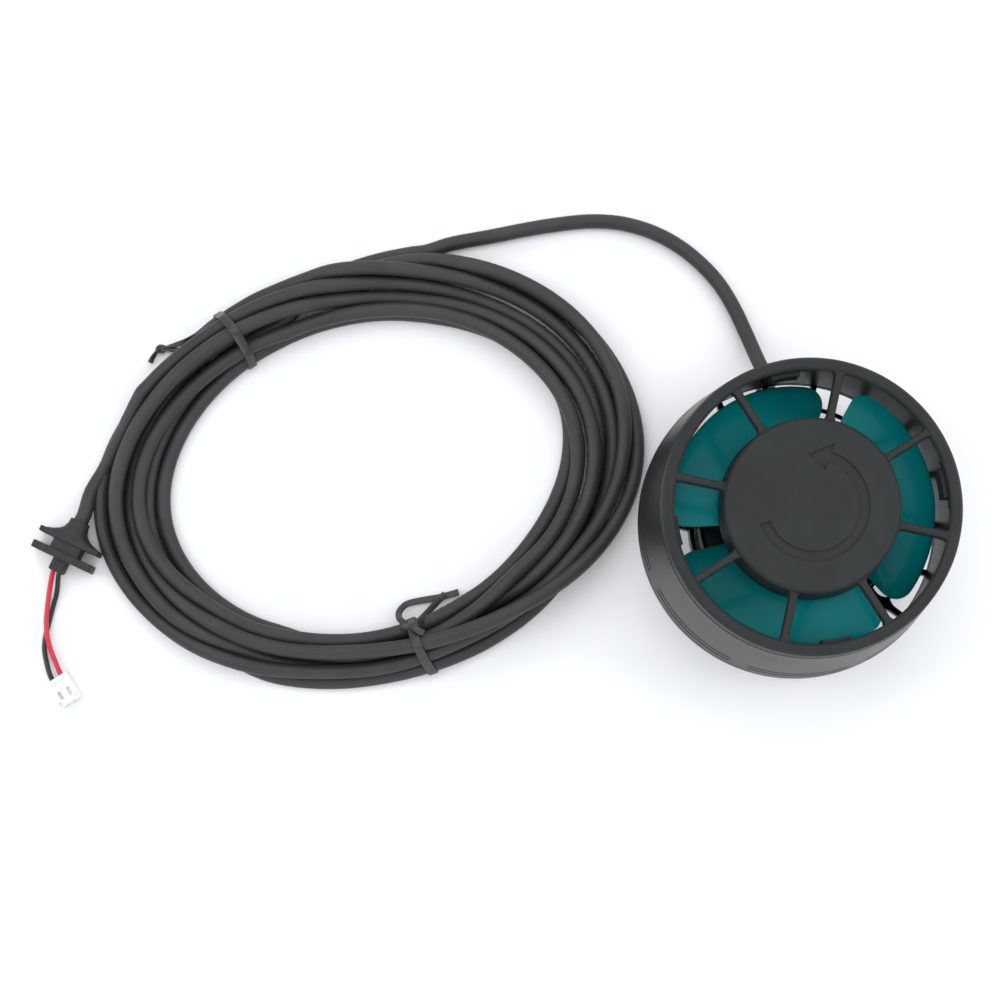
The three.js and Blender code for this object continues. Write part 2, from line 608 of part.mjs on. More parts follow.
// The lead runs straight out of the gland, comes down to the surface and curves round to the coil
function cableLead() {
  const start = CAN_RADIUS + 2 * GAP + GLAND_LENGTH;
  const alongExit = (radius, z) => [radius * Math.cos(EXIT_ANGLE), radius * Math.sin(EXIT_ANGLE), z];
  const points = [
    alongExit(start, EXIT_Z), alongExit(start + 3.5, 6.7),
    [-6.7, 45.7, 4.6], [-9, 52.1, 2.4], [-11.9, 58.7, 1.91], [-15.7, 65.1, 1.91], [-20.7, 70.7, 1.91],
    [-26.7, 75.5, 1.91], [-33.7, 79.1, 1.91], [-41.3, 81.2, 1.91], [-49.2, 81.7, 1.91], [-57.3, 80.9, 1.91],
    [-65.3, 79.6, 1.91], [-75.3, 77.6, 1.91], [-85.3, 75.7, 1.91], [-94.3, 74.2, 1.91],
  ];
  return piece('cable_lead', tube(points, CABLE_RADIUS, CABLE_SIDES, 22), charcoal);
}

// A piece made along the X axis, turned to an angle and moved to its place
function placed(geometry, angle, centre) {
  const copy = atAngle(geometry, angle);
  copy.translate(...centre);
  return copy;
}

// An oval block about Z. The profile gives the distance inside or outside the oval's rim, and z.
function ovalBlock(oval, profile) {
  const [longRadius, shortRadius] = oval.radii;
  const rim = profile.map(([offset, z]) => [longRadius + offset, z]);
  const block = turned([[0, rim[0][1]], ...rim, [0, rim[rim.length - 1][1]]]);
  block.scale(1, shortRadius / longRadius, 1);
  return placed(block, oval.lean, [...oval.centre, 0]);
}

function tieSlot(tie) {
  const slot = box(2 * tie.halfWidth + 8, TIE_WIDTH + 2 * GAP, 2 * (TIE_THICKNESS + GAP));
  return placed(slot, tie.across, [...tie.centre, 0]);
}

// Coil: the outer shape of the wound turns, with a shallow slot for each tie to pass under
function cableCoil() {
  const sideTop = COIL_HEIGHT - COIL_SHOULDER;
  const outside = ovalBlock(COIL_OUTSIDE, [
    [-COIL_FOOT, 0], [0, COIL_FOOT], [0, sideTop], [-COIL_SHOULDER, COIL_HEIGHT],
  ]);
  const inside = ovalBlock(COIL_INSIDE, [
    [COIL_FOOT + 1, -1], [0, COIL_FOOT], [0, sideTop], [COIL_SHOULDER + 1, COIL_HEIGHT + 1],
  ]);
  return piece('cable_coil', cut(outside, [inside, tieSlot(UPPER_TIE), tieSlot(LOWER_TIE)]), charcoal);
}

// The outline of a tie's strap at a distance from the bundle: flat below, sloped at both shoulders
function strapOutline(path, reach, bottom, top) {
  path.moveTo(-reach, bottom);
  path.lineTo(reach, bottom);
  path.lineTo(reach, top - COIL_SHOULDER);
  path.lineTo(reach - COIL_SHOULDER, top);
  path.lineTo(-reach + COIL_SHOULDER, top);
  path.lineTo(-reach, top - COIL_SHOULDER);
  path.closePath();
  return path;
}

// Wire tie: a flat strap round the bundle, with its twisted tails beside it
function wireTie(name, tie, tails) {
  const reach = tie.halfWidth + 0.6;
  const top = COIL_HEIGHT + GAP;
  const strap = strapOutline(new THREE.Shape(), reach + TIE_THICKNESS, 0, top + TIE_THICKNESS);
  strap.holes.push(strapOutline(new THREE.Path(), reach, TIE_THICKNESS, top));
  const loop = new THREE.ExtrudeGeometry(strap, { depth: TIE_WIDTH, bevelEnabled: false });
  loop.translate(0, 0, -TIE_WIDTH / 2);
  loop.rotateX(Math.PI / 2);
  const tubes = tails.map((points) => tube(points, 0.75, 6, 8));
  return piece(name, join([placed(loop, tie.across, [...tie.centre, 0]), ...tubes]), rubberBlack);
}

function wireTies() {
  const upperTail = [
    [-145.6, 56.7, 1.6], [-149.7, 55.9, 1.2], [-153.5, 53.3, 0.9], [-157.3, 50.5, 0.9], [-160.7, 47.7, 0.9],
    [-163.6, 44.7, 0.9],
  ];
  const lowerLoop = [
    [-95.2, -22.8, 3.2], [-97.3, -21.9, 2.4], [-98.3, -20.1, 1.4], [-96.9, -18.4, 0.95], [-92.7, -17.3, 0.9],
    [-87.9, -16.5, 0.9], [-83.3, -15.3, 0.9],
  ];
  const lowerTail = [[-95.2, -22.8, 3.2], [-93.1, -21.1, 2], [-90.3, -18.7, 1.2], [-87.7, -16.5, 0.9]];
  return [
    wireTie('wire_tie_upper', UPPER_TIE, [upperTail]),
    wireTie('wire_tie_lower', LOWER_TIE, [lowerLoop, lowerTail]),
  ];
}

function beforeGrommet(distance) {
  const x = GROMMET_CENTRE[0] - (GROMMET_NOSE + distance) * Math.cos(GROMMET_ANGLE);
  const y = GROMMET_CENTRE[1] - (GROMMET_NOSE + distance) * Math.sin(GROMMET_ANGLE);
  return [x, y, GROMMET_CENTRE[2]];
}

function cableTail() {
  const points = [[-178.8, 9.3, 2], [-178.8, 7.3, 2.8], beforeGrommet(2.4), beforeGrommet(1.5 * GAP)];
  return piece('cable_tail', tube(points, CABLE_RADIUS, CABLE_SIDES, 3), charcoal);
}

// Grommet: a tapered nose and two flanges that a panel's slot slides between
function panelGrommet() {
  const nose = turned([
    [0, -GROMMET_NOSE], [CABLE_RADIUS + 0.7, -GROMMET_NOSE], [3.1, -1.8], [3.3, 0], [0, 0],
  ], TINY_ROUND);
  nose.rotateY(Math.PI / 2);
  const flange = box(FLANGE_THICKNESS, FLANGE_WIDTH, FLANGE_HEIGHT);
  const neck = box(...NECK_SIZE, NECK_SIZE[0] / 2, 0, 0);
  const lockFlange = box(LOCK_FLANGE_THICKNESS, FLANGE_WIDTH, FLANGE_HEIGHT, LOCK_FLANGE_X, 0, 0);
  const stub = box(...STUB_SIZE, LOCK_FLANGE_X + 2.5, 0, 0);
  const grommet = join([nose, flange, neck, lockFlange, stub]);
  return piece('panel_grommet', placed(grommet, GROMMET_ANGLE, GROMMET_CENTRE), rubberBlack);
}

function wires() {
  const red = [
    [-187.1, -10.5, 3.5], [-188, -14.8, 2.4], [-188.5, -19.3, 2.2], [-188.7, -23.1, 2.3],
    [-188.4, -26.5, 2.3], [-187.5, -30.1, 1.9], [-186.1, -33.5, 1.9], [-184.75, -36.45, 2.3],
  ];
  const black = [
    [-185.6, -11.2, 3.5], [-186.3, -15.4, 1.5], [-187.4, -19.3, 0.7], [-188.3, -23.2, 0.68],
    [-189.1, -26.7, 0.68], [-189.3, -30.1, 0.7], [-188.3, -34.3, 1.4], [-186.8, -37.8, 2.3],
  ];
  return [
    piece('wire_red', tube(red, WIRE_RADIUS, CABLE_SIDES, 14), wireRed),
    piece('wire_black', tube(black, WIRE_RADIUS, CABLE_SIDES, 14), rubberBlack),
  ];
}

function connector() {
  const [length, width, height] = CONNECTOR_SIZE;
  const cavities = [-1, 1].map((side) => box(length + 1, 1.5, 1.7, 0, (side * CONTACT_PITCH) / 2, 0));
  const windows = [-1, 1].map((side) => box(2.2, 0.9, 2, 1, (side * CONTACT_PITCH) / 2, height / 2));
  const keyways = [-1, 1].map((side) => box(2.8, 0.8, 1, length / 2, side * 2.4, height / 2));
  const housing = cut(box(length, width, height), [...cavities, ...windows, ...keyways]);
  const contacts = [-1, 1].map((side, index) => {
    const contact = box(...CONTACT_SIZE, 0, (side * CONTACT_PITCH) / 2, 0);
    return piece(`contact_${index + 1}`, placed(contact, CONNECTOR_ANGLE, CONNECTOR_CENTRE), tinned);
  });
  const shell = piece('connector_housing', placed(housing, CONNECTOR_ANGLE, CONNECTOR_CENTRE), nylonWhite);
  return [shell, ...contacts];
}

function assembly(...pieces) {
  const group = new THREE.Group();
  group.add(...pieces);
  return group;
}

const guard = assembly(frontGuard(), frontBush());
const rotor = assembly(propeller(), ...rotorParts());
const motor = assembly(
  motorCan(),
  backCover(),
  rubberPad(),
  ...backParts(),
  ...repeated(SCREWS, FIRST_SCREW, coverScrew),
  statorCore(),
  ...repeated(TEETH, 0, winding),
  circuitBoard(),
  ...shaftParts(),
);
const casing = assembly(shroud(), rearCage());
const cable = assembly(
  cableGland(),
  cableLead(),
  cableCoil(),
  ...wireTies(),
  cableTail(),
  panelGrommet(),
  ...wires(),
  ...connector(),
);

export default assembly(guard, rotor, motor, casing, cable);
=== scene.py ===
import json
import math

import bmesh
import bpy
import numpy as np
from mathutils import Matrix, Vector


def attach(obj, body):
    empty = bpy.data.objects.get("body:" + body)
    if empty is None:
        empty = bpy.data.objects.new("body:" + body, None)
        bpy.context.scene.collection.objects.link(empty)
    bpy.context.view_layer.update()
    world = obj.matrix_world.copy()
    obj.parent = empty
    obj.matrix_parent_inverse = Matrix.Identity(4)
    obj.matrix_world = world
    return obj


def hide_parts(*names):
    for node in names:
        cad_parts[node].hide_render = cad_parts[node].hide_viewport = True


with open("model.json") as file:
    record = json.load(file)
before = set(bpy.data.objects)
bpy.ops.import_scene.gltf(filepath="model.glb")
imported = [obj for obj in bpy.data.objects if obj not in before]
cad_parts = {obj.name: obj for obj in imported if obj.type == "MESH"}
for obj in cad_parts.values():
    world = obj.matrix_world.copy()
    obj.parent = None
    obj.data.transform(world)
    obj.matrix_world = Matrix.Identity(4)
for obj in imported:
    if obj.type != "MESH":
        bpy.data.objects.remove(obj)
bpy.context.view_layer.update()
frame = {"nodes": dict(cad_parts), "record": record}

# The looks of a small submersible circulation pump with its coiled cable. Shapes are worked out in
# millimetres in the CAD's frame and stored in metres. +Z points from the back pad to the guard.
MM = 0.001

# Pump sizes, as in the CAD
FRONT_RADIUS, REAR_RADIUS, DUCT_BACK_RADIUS, WALL = 35.0, 38.4, 35.2, 1.7
RIM_FRONT_Z, RIM_BACK_Z, SHROUD_FRONT_Z, SHROUD_BACK_Z = 60.0, 56.3, 56.0, 22.6
OPENING_RADIUS = 32.1
CAP_RADIUS, CAP_TOP_Z, CAP_BACK_Z, CAP_WALL = 20.5, 60.8, 50.4, 1.7
SPOKES, FIRST_SPOKE, SPOKE_FRONT_Z = 8, math.radians(32.5), 59.6
LUGS, FIRST_LUG = 4, math.radians(10)
CAN_RADIUS, CAN_WALL, CAN_BACK_Z, CAN_FRONT_Z = 24.0, 1.8, 13.2, 32.0
COVER_BACK_Z, COVER_FRONT_Z = 2.3, 12.0
SCREW_CIRCLE, FIRST_SCREW = 20.2, math.radians(15)
RIBS = 18

# Cable
CABLE_RADIUS, WIRE_RADIUS = 1.9, 0.65
EXIT_ANGLE, EXIT_Z = math.radians(97), 7.2
LEAD = [
    (-6.7, 45.7, 4.6), (-9, 52.1, 2.4), (-11.9, 58.7, 1.9), (-15.7, 65.1, 1.9), (-20.7, 70.7, 1.9),
    (-26.7, 75.5, 1.9), (-33.7, 79.1, 1.9), (-41.3, 81.2, 1.9), (-49.2, 81.7, 1.9), (-57.3, 80.9, 1.9),
    (-65.3, 79.6, 1.9), (-75.3, 77.6, 1.9), (-85.3, 75.7, 1.9),
]
COIL_CENTRE = (-106, 16.2)
COIL_OUTSIDE = ((-106, 16.2), (71.4, 53.2), math.radians(16.5))
COIL_INSIDE = ((-107.5, 14.5), (50.6, 40.2), math.radians(21))
GROMMET_CENTRE, GROMMET_ANGLE, GROMMET_NOSE = (-182.6, -2.6, 3.6), math.radians(-115), 5.7
CONNECTOR_CENTRE, CONNECTOR_ANGLE = (-183.6, -40.5, 2.3), math.radians(-57)
UPPER_TIE = ((-141.1, 49.9), math.radians(123.4))
LOWER_TIE = ((-92.7, -29.2), math.radians(-68))


# Ties
STRAP_WIDTH, STRAP_THICKNESS, STRAP_REACH = 2.4, 0.6, 0.32
STRAP_POINTS, STRAP_LOWEST_Z, TAIL_THICKNESS = 72, 0.42, 0.5

# Propeller
TIP_RADIUS, ROOT_RADIUS, BLADE_MIDDLE_Z = 32.3, 15.3, 40.0
BLADE_HALF_ARC, BLADE_SWEEP = math.radians(55), math.radians(4)
BLADE_THICKNESS, BLADE_CLIMB, BLADE_CUPPING = 1.6, 5.5, 0.9
BLADE_ANGLES = (15, 135, 255)

# Camera and studio, in metres
CAMERA_PLACE, CAMERA_AIM, LENS = (-0.0727, -0.065, 0.5995), (-0.0727, 0.0086, 0), 84.2
LIT_POINT = (-0.07, 0.01, 0.03)


# ---------------------------------------------------------------- camera and light
def add_camera():
    data = bpy.data.cameras.new("camera")
    data.sensor_width = 36
    data.lens = LENS
    camera = bpy.data.objects.new("camera", data)
    camera.location = CAMERA_PLACE
    aim = Vector(CAMERA_AIM) - camera.location
    camera.rotation_euler = aim.to_track_quat("-Z", "Y").to_euler()
    bpy.context.scene.collection.objects.link(camera)
    bpy.context.scene.camera = camera


def add_area(name, place, size, power):
    """A large soft light that faces the object."""
    data = bpy.data.lights.new(name, "AREA")
    data.shape = "RECTANGLE"
    data.size, data.size_y = size
    data.energy = power
    light = bpy.data.objects.new(name, data)
    light.location = place
    light.rotation_euler = (Vector(LIT_POINT) - Vector(place)).to_track_quat("-Z", "Y").to_euler()
    bpy.context.scene.collection.objects.link(light)


def add_studio():
    scene = bpy.context.scene
    scene.view_settings.view_transform = "Standard"
    world = bpy.data.worlds.new("studio")
    world.use_nodes = True
    background = world.node_tree.nodes["Background"]
    background.inputs["Color"].default_value = (0.93, 0.97, 1, 1)
    background.inputs["Strength"].default_value = 0.62
    scene.world = world
    add_area("left_box", (-1.1, 0.1, 0.6), (0.5, 1.0), 4)
    add_area("right_box", (0.95, 0.1, 0.6), (0.5, 1.0), 4)
    add_area("back_box", (-0.1, 1.1, 0.7), (1.2, 0.5), 4)
    add_area("front_box", (-0.1, -1.1, 0.6), (1.2, 0.5), 4)
    add_area("overhead_box", (-0.1, 0.1, 1.3), (1.6, 1.4), 7)


# ---------------------------------------------------------------- cable route
# Each turn of the coil as (angle, distance outwards from the middle of the band, layer)
TURNS = [
    [(76, 10.4, 0), (80, 8.8, 0), (84, 7.4, 0), (92, 5.8, 0), (104, 4.6, 0), (120, 3.4, 0),
     (135, 1.8, 0), (150, 1.6, 0), (165, 2.2, 0), (180, 2.8, 0), (190, 3, .1), (200, 1, .6),
     (210, -.5, .9), (220, -1.2, 1), (240, -1.7, 1.4), (255, -2, 2), (270, -1.8, 2.1), (285, -.4, 2.1),
     (300, .9, 2.1), (310, 1.9, 2), (320, 3.2, 1.8), (330, 4.6, 1.4), (340, 6.9, .8), (350, 10, .2),
     (357, 11.3, 0)],
    [(3, 11, 0), (10, 9.6, 0), (20, 8.2, 0), (35, 7.8, 0), (60, 7.6, 0), (72, 6.4, 0), (84, 4, 0),
     (96, 2, 0), (110, .6, 0), (135, .2, .5), (150, 1, .5), (165, 3.6, 0), (180, 5.9, 0),
     (190, 6.3, 0), (200, 4.6, 0), (210, 2.6, 0), (225, 1.6, 0), (240, 3, 0), (250, 4, 0),
     (260, 4.45, .6), (285, 4.45, .8), (300, 4.4, .5), (320, 4.2, 0), (340, 3.2, 0), (357, 2.6, .2)],
    [(3, 2.2, .4), (12, 2.2, .8), (20, 3.3, 1), (30, 4, 1), (45, 4.1, 1), (60, 4.1, 1), (70, 4.4, 1.2),
     (80, 4.7, 1.5), (90, 4.8, 1.6), (100, 5, 1.2), (110, 4.9, 1), (120, 4.7, .7), (135, 4.5, 0),
     (150, 4.7, 0), (160, 5.6, 0), (170, 7.2, 0), (180, 9.3, 0), (186, 9.9, 0), (192, 9.6, 0),
     (200, 8, 0), (210, 5.8, 0), (220, 4.3, 0), (230, 3.5, .5), (240, 3.3, .9), (250, 2.8, 1.4),
     (260, 2.1, 1.9), (270, 2.1, 1.9), (285, 2, 1.6), (300, 2.2, 1), (315, 2.6, .6), (330, 3.6, .3),
     (345, 4.6, .1), (357, 5.2, 0)],
    [(3, 5.8, .1), (9, 6.6, .5), (15, 7.3, .9), (22, 7.8, 1), (30, 8, 1), (60, 8, 1), (70, 7.4, 1),
     (80, 6.6, 1), (90, 5.4, .9), (100, 3.6, .6), (110, 1.4, .3), (120, -.6, .2), (135, -2, .2),
     (150, -2.4, 0), (165, -2.8, 0), (180, -3.2, 0), (192, -3.2, 0), (205, -4.2, 0), (220, -3.6, 0),
     (235, -2, 0), (250, -1.2, 0), (270, -.2, .9), (285, -1.2, .9), (300, -2, 1.1), (310, -2.2, 1.1),
     (320, -2.4, 1), (330, -2.9, .9), (340, -3.6, .9), (350, -4.4, .9), (357, -4.9, .9)],
    [(3, -5.4, 1), (10, -6.4, 1), (20, -7.6, .9), (30, -8.6, .6), (38, -8.8, .5), (50, -7.8, .6),
     (60, -6.8, .8), (70, -6.4, 1), (80, -6.2, 1), (90, -6, 1), (100, -5.8, 1), (110, -5.3, 1),
     (120, -5, 1), (130, -4.6, 1), (140, -3.8, 1), (150, -3.4, 1), (160, -2.7, 1), (170, -1.5, 1),
     (180, 0, 1), (190, .2, 1), (195, -.9, 1), (200, -2.6, 1), (210, -4.5, 1), (220, -4.8, 1),
     (230, -4.6, 1), (240, -4, 1), (255, -3.3, 1), (270, -3.1, 1), (285, -3.1, 1), (295, -3.6, .9),
     (310, -5.3, .6), (320, -6.4, .4), (330, -7.6, .2), (340, -8.3, 0), (350, -8.6, 0), (357, -8.6, 0)],
    [(3, -8.2, 0), (13, -6.7, 0), (25, -6.4, 0), (40, -6.6, 0), (60, -6.6, 0), (90, -5.9, 0),
     (120, -5.6, 0), (140, -5.7, 0), (150, -6, 0), (160, -6.5, 0), (170, -7.1, 0), (180, -7.2, 0),
     (190, -6.8, 0), (200, -7.2, 0), (210, -7.9, 0), (220, -7.4, 0), (230, -6.2, 0), (240, -4.8, 0),
     (255, -3.2, 0), (270, -2, 0), (285, -1.8, 0), (300, -1.6, .3), (315, -1, .6), (330, -.4, .8),
     (345, .3, .9), (357, -.2, 1)],
    [(3, -.7, 1.1), (10, -1.4, 1.2), (20, -3.2, 1.1), (30, -4.4, 1), (40, -4.8, 1), (50, -4.6, 1),
     (60, -4.5, 1.2), (70, -4, 1.3), (80, -3, 1.3), (90, -2.2, 1.2), (100, -1.5, 1.1), (110, -.8, 1),
     (120, -.1, 1), (130, .4, 1), (140, .9, 1), (150, 1.4, 1), (160, 2.2, 1), (170, 3.5, 1),
     (180, 5, 1), (190, 6, 1), (200, 3.6, .9), (210, 1.6, .7), (220, .7, .3), (235, .6, 0),
     (250, 1.6, 0), (270, 2, 0), (285, 1.8, 0), (300, 1.4, 0), (320, .8, 0), (340, .6, 0),
     (357, .7, 0)],
    [(3, .8, 0), (12, .7, .2), (20, .3, .5), (30, -.2, .7), (40, -.8, .8), (50, -.9, .8),
     (60, -.8, .9), (70, -.2, 1), (80, .8, 1.1), (90, 1.5, 1.3), (100, 2.4, 1.5), (110, 3, 1.6),
     (120, 3.6, 1.6), (130, 4, 1.4), (140, 4.3, 1.2), (150, 4.7, 1), (158, 5.4, .9), (164, 6.3, .6)],
]
DEGREES_PER_POINT = 3
TIE_ANGLES = (136, 287)


def oval_distance(theta, oval):
    """Distance from the coil's centre to an oval, in each direction."""
    centre, (long_radius, short_radius), lean = oval
    cos, sin = math.cos(lean), math.sin(lean)
    dx, dy = COIL_CENTRE[0] - centre[0], COIL_CENTRE[1] - centre[1]
    px, py = (dx * cos + dy * sin) / long_radius, (dy * cos - dx * sin) / short_radius
    vx = (np.cos(theta) * cos + np.sin(theta) * sin) / long_radius
    vy = (np.sin(theta) * cos - np.cos(theta) * sin) / short_radius
    a, b = vx * vx + vy * vy, px * vx + py * vy
    return (-b + np.sqrt(b * b - a * (px * px + py * py - 1))) / a


def settled_coil():
    """The coil's centreline: the turns settle and push each other about a diameter apart."""
    layer = 1.78 * CABLE_RADIUS
    keys = [(360 * turn + a, out, CABLE_RADIUS + layer * level)
            for turn, points in enumerate(TURNS) for a, out, level in points]
    key_angle, key_out, key_z = np.array(keys).T
    angle = np.arange(key_angle[0], key_angle[-1] + 1, DEGREES_PER_POINT)
    goal, z = np.interp(angle, key_angle, key_out), np.interp(angle, key_angle, key_z)
    for line in (goal, z):
        for _ in range(4):
            line[1:-1] = 0.5 * line[1:-1] + 0.25 * (line[:-2] + line[2:])
    floor = np.full(len(angle), CABLE_RADIUS)
    for tie in TIE_ANGLES:
        floor += 0.6 * np.exp(-(((angle % 360) - tie) / 5) ** 2)
    out = goal.copy()
    turn = 360 // DEGREES_PER_POINT

    def push_apart():
        for turns in range(1, len(TURNS)):
            count = len(out) - turns * turn
            if count <= 0:
                break
            across = 0.97 * (out[turns * turn:] - out[:count])
            up = z[turns * turn:] - z[:count]
            distance = np.sqrt(across * across + up * up) + 1e-9
            push = 0.35 * np.clip(2 * CABLE_RADIUS - distance, 0, None) / distance
            out[turns * turn:] += 0.8 * push * across
            out[:count] -= 0.8 * push * across
            z[turns * turn:] += push * up
            z[:count] -= push * up
        np.maximum(z, floor, out=z)

    rounds = 900
    for number in range(rounds):
        late = number > 0.75 * rounds
        out += (0.01 if late else 0.04) * (goal - out)
        z -= 0.004 if late else 0.02
        for line in (out, z):
            line[1:-1] += 0.25 * (0.5 * (line[:-2] + line[2:]) - line[1:-1])
        for _ in range(3):
            push_apart()
    theta = np.radians(angle)
    radius = 0.5 * (oval_distance(theta, COIL_OUTSIDE) + oval_distance(theta, COIL_INSIDE)) + out
    x = COIL_CENTRE[0] + radius * np.cos(theta)
    y = COIL_CENTRE[1] + radius * np.sin(theta)
    return np.c_[x, y, z]


def smooth_path(points, step):
    """Points a fixed distance apart on a Catmull-Rom curve through the given ones."""
    p = np.array(points, float)
    p = np.vstack([2 * p[0] - p[1], p, 2 * p[-1] - p[-2]])
    fine = []
    for a, b, c, d in zip(p[:-3], p[1:-2], p[2:-1], p[3:]):
        for t in np.arange(0, 1, 0.1):
            fine.append(0.5 * (2 * b + (c - a) * t + (2 * a - 5 * b + 4 * c - d) * t ** 2
                               + (3 * b - a - 3 * c + d) * t ** 3))
    fine = np.array(fine + [p[-2]])
    travelled = np.r_[0, np.cumsum(np.linalg.norm(np.diff(fine, axis=0), axis=1))]
    stops = np.linspace(0, travelled[-1], max(2, int(round(travelled[-1] / step)) + 1))
    return np.c_[tuple(np.interp(stops, travelled, fine[:, axis]) for axis in range(3))]


def before_grommet(distance):
    """A place on the grommet's axis, this far outside its nose."""
    x = GROMMET_CENTRE[0] - (GROMMET_NOSE + distance) * math.cos(GROMMET_ANGLE)
    y = GROMMET_CENTRE[1] - (GROMMET_NOSE + distance) * math.sin(GROMMET_ANGLE)
    return x, y, GROMMET_CENTRE[2]


def cable_route():
    """The cable's centreline, from inside the strain relief to inside the grommet."""
    def along_exit(radius, z):
        return radius * math.cos(EXIT_ANGLE), radius * math.sin(EXIT_ANGLE), z
    start = [along_exit(30, EXIT_Z), along_exit(34, EXIT_Z), along_exit(37.6, EXIT_Z), along_exit(41.1, 6.7)]
    end = [(-173.9, 17.4, 2.6), (-176.2, 13.4, 2.4), (-178, 9.8, 2.7)]
    end += [before_grommet(2.4), before_grommet(-1)]
    route = smooth_path(start + LEAD + [tuple(p) for p in settled_coil()] + end, 1.6)
    route[:, 2] = np.maximum(route[:, 2], CABLE_RADIUS)
    return route


# ---------------------------------------------------------------- mesh helpers
def rounded(corners, steps=5):
    """A closed outline whose corners (x, y, rounding) are rounded."""
    outline = []
    for index, (x, y, rounding) in enumerate(corners):
        corner = Vector((x, y))
        if not rounding:
            outline.append((x, y))
            continue
        back = Vector(corners[index - 1][:2]) - corner
        ahead = Vector(corners[(index + 1) % len(corners)][:2]) - corner
        half = 0.5 * math.acos(max(-1, min(1, back.normalized().dot(ahead.normalized()))))
        reach = min(rounding / math.tan(half), 0.48 * back.length, 0.48 * ahead.length)
        start, end = corner + back.normalized() * reach, corner + ahead.normalized() * reach
        for step in range(steps + 1):
            t = step / steps
            point = start * (1 - t) ** 2 + corner * 2 * t * (1 - t) + end * t * t
            outline.append((point.x, point.y))
    return outline


def turned(profile, sides=144):
    """A closed (radius, z) profile turned about Z."""
    vertices, faces = [], []
    count = len(profile)
    for side in range(sides):
        angle = 2 * math.pi * side / sides
        vertices += [(r * math.cos(angle), r * math.sin(angle), z) for r, z in profile]
    for side in range(sides):
        here, there = side * count, (side + 1) % sides * count
        for index in range(count):
            following = (index + 1) % count
            if profile[index][0] < 1e-6 and profile[following][0] < 1e-6:
                continue
            faces.append((here + index, there + index, there + following, here + following))
    return np.array(vertices), faces


def swept(rings, closed=False):
    """Skin over a row of rings of points, capped at both ends unless it closes on itself."""
    size = len(rings[0])
    vertices = np.array(rings).reshape(-1, 3)
    faces = []
    for row in range(len(rings) if closed else len(rings) - 1):
        here, there = row * size, (row + 1) % len(rings) * size
        for index in range(size):
            following = (index + 1) % size
            faces.append((here + index, here + following, there + following, there + index))
    if not closed:
        faces.append(tuple(range(size))[::-1])
        faces.append(tuple(range(len(vertices) - size, len(vertices))))
    return vertices, faces


def prism(outline, back_z, front_z):
    return swept([[(x, y, z) for x, y in outline] for z in (back_z, front_z)])


def arc_block(inner, outer, back_z, front_z, middle, arc, rounding=0.2):
    """A rounded block that follows an arc about Z."""
    section = rounded([(inner, back_z, rounding), (outer, back_z, rounding),
                       (outer, front_z, rounding), (inner, front_z, rounding)], 2)
    angles = np.linspace(middle - arc / 2, middle + arc / 2, 13)
    return swept([[(r * math.cos(a), r * math.sin(a), z) for r, z in section] for a in angles])


def rounded_box(size, centre=(0, 0, 0), rounding=0.3):
    """A box with rounded edges."""
    work = bmesh.new()
    bmesh.ops.create_cube(work, size=1)
    bmesh.ops.scale(work, vec=size, verts=work.verts)
    bmesh.ops.bevel(work, geom=list(work.edges), offset=rounding, segments=3, profile=0.5, affect="EDGES")
    work.verts.index_update()
    vertices = np.array([tuple(vertex.co) for vertex in work.verts]) + np.array(centre)
    faces = [tuple(vertex.index for vertex in face.verts) for face in work.faces]
    work.free()
    return vertices, faces


def turn(shape, angle, shift=(0, 0, 0)):
    """A shape turned about Z and moved."""
    vertices, faces = shape
    cos, sin = math.cos(angle), math.sin(angle)
    matrix = np.array([[cos, -sin, 0], [sin, cos, 0], [0, 0, 1]])
    return vertices @ matrix.T + np.array(shift), faces


def around(shape, count, first=0.0):
    return [turn(shape, first + 2 * math.pi * index / count) for index in range(count)]


def merged(shapes):
    """Several shapes as one."""
    vertices, faces, start = [], [], 0
    for points, polygons in shapes:
        vertices.append(points)
        faces += [tuple(start + index for index in polygon) for polygon in polygons]
        start += len(points)
    return np.vstack(vertices), faces


def to_object(name, shape):
    vertices, faces = shape
    mesh = bpy.data.meshes.new(name)
    mesh.from_pydata([tuple(v) for v in np.asarray(vertices) * MM], [], faces)
    work = bmesh.new()
    work.from_mesh(mesh)
    bmesh.ops.remove_doubles(work, verts=work.verts, dist=2e-6)
    bmesh.ops.dissolve_degenerate(work, dist=1e-7, edges=work.edges)
    bmesh.ops.recalc_face_normals(work, faces=work.faces)
    work.to_mesh(mesh)
    work.free()
    made = bpy.data.objects.new(name, mesh)
    bpy.context.scene.collection.objects.link(made)
    return made


def combine(base, steps):
    """Joins or cuts an object with shapes, in order: ("UNION" or "DIFFERENCE", shape)."""
    tools = []
    for number, (operation, shape) in enumerate(steps):
        tool = to_object(f"tool_{number}", shape)
        modifier = base.modifiers.new(f"step_{number}", "BOOLEAN")
        modifier.operation, modifier.object, modifier.solver = operation, tool, "EXACT"
        tools.append(tool)
    bpy.context.view_layer.update()
    evaluated = base.evaluated_get(bpy.context.evaluated_depsgraph_get())
    mesh = bpy.data.meshes.new_from_object(evaluated)
    base.modifiers.clear()
    base.data = mesh
    for tool in tools:
        bpy.data.objects.remove(tool)
    return base


def finish_piece(made, body, slot, replaces=(), sharp=32):
    made.data.shade_smooth()
    made.data.set_sharp_from_angle(angle=math.radians(sharp))
    made.data.materials.clear()
    made.data.materials.append(MATERIALS[slot])
    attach(made, body)
    if replaces:
        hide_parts(*replaces)
    return made


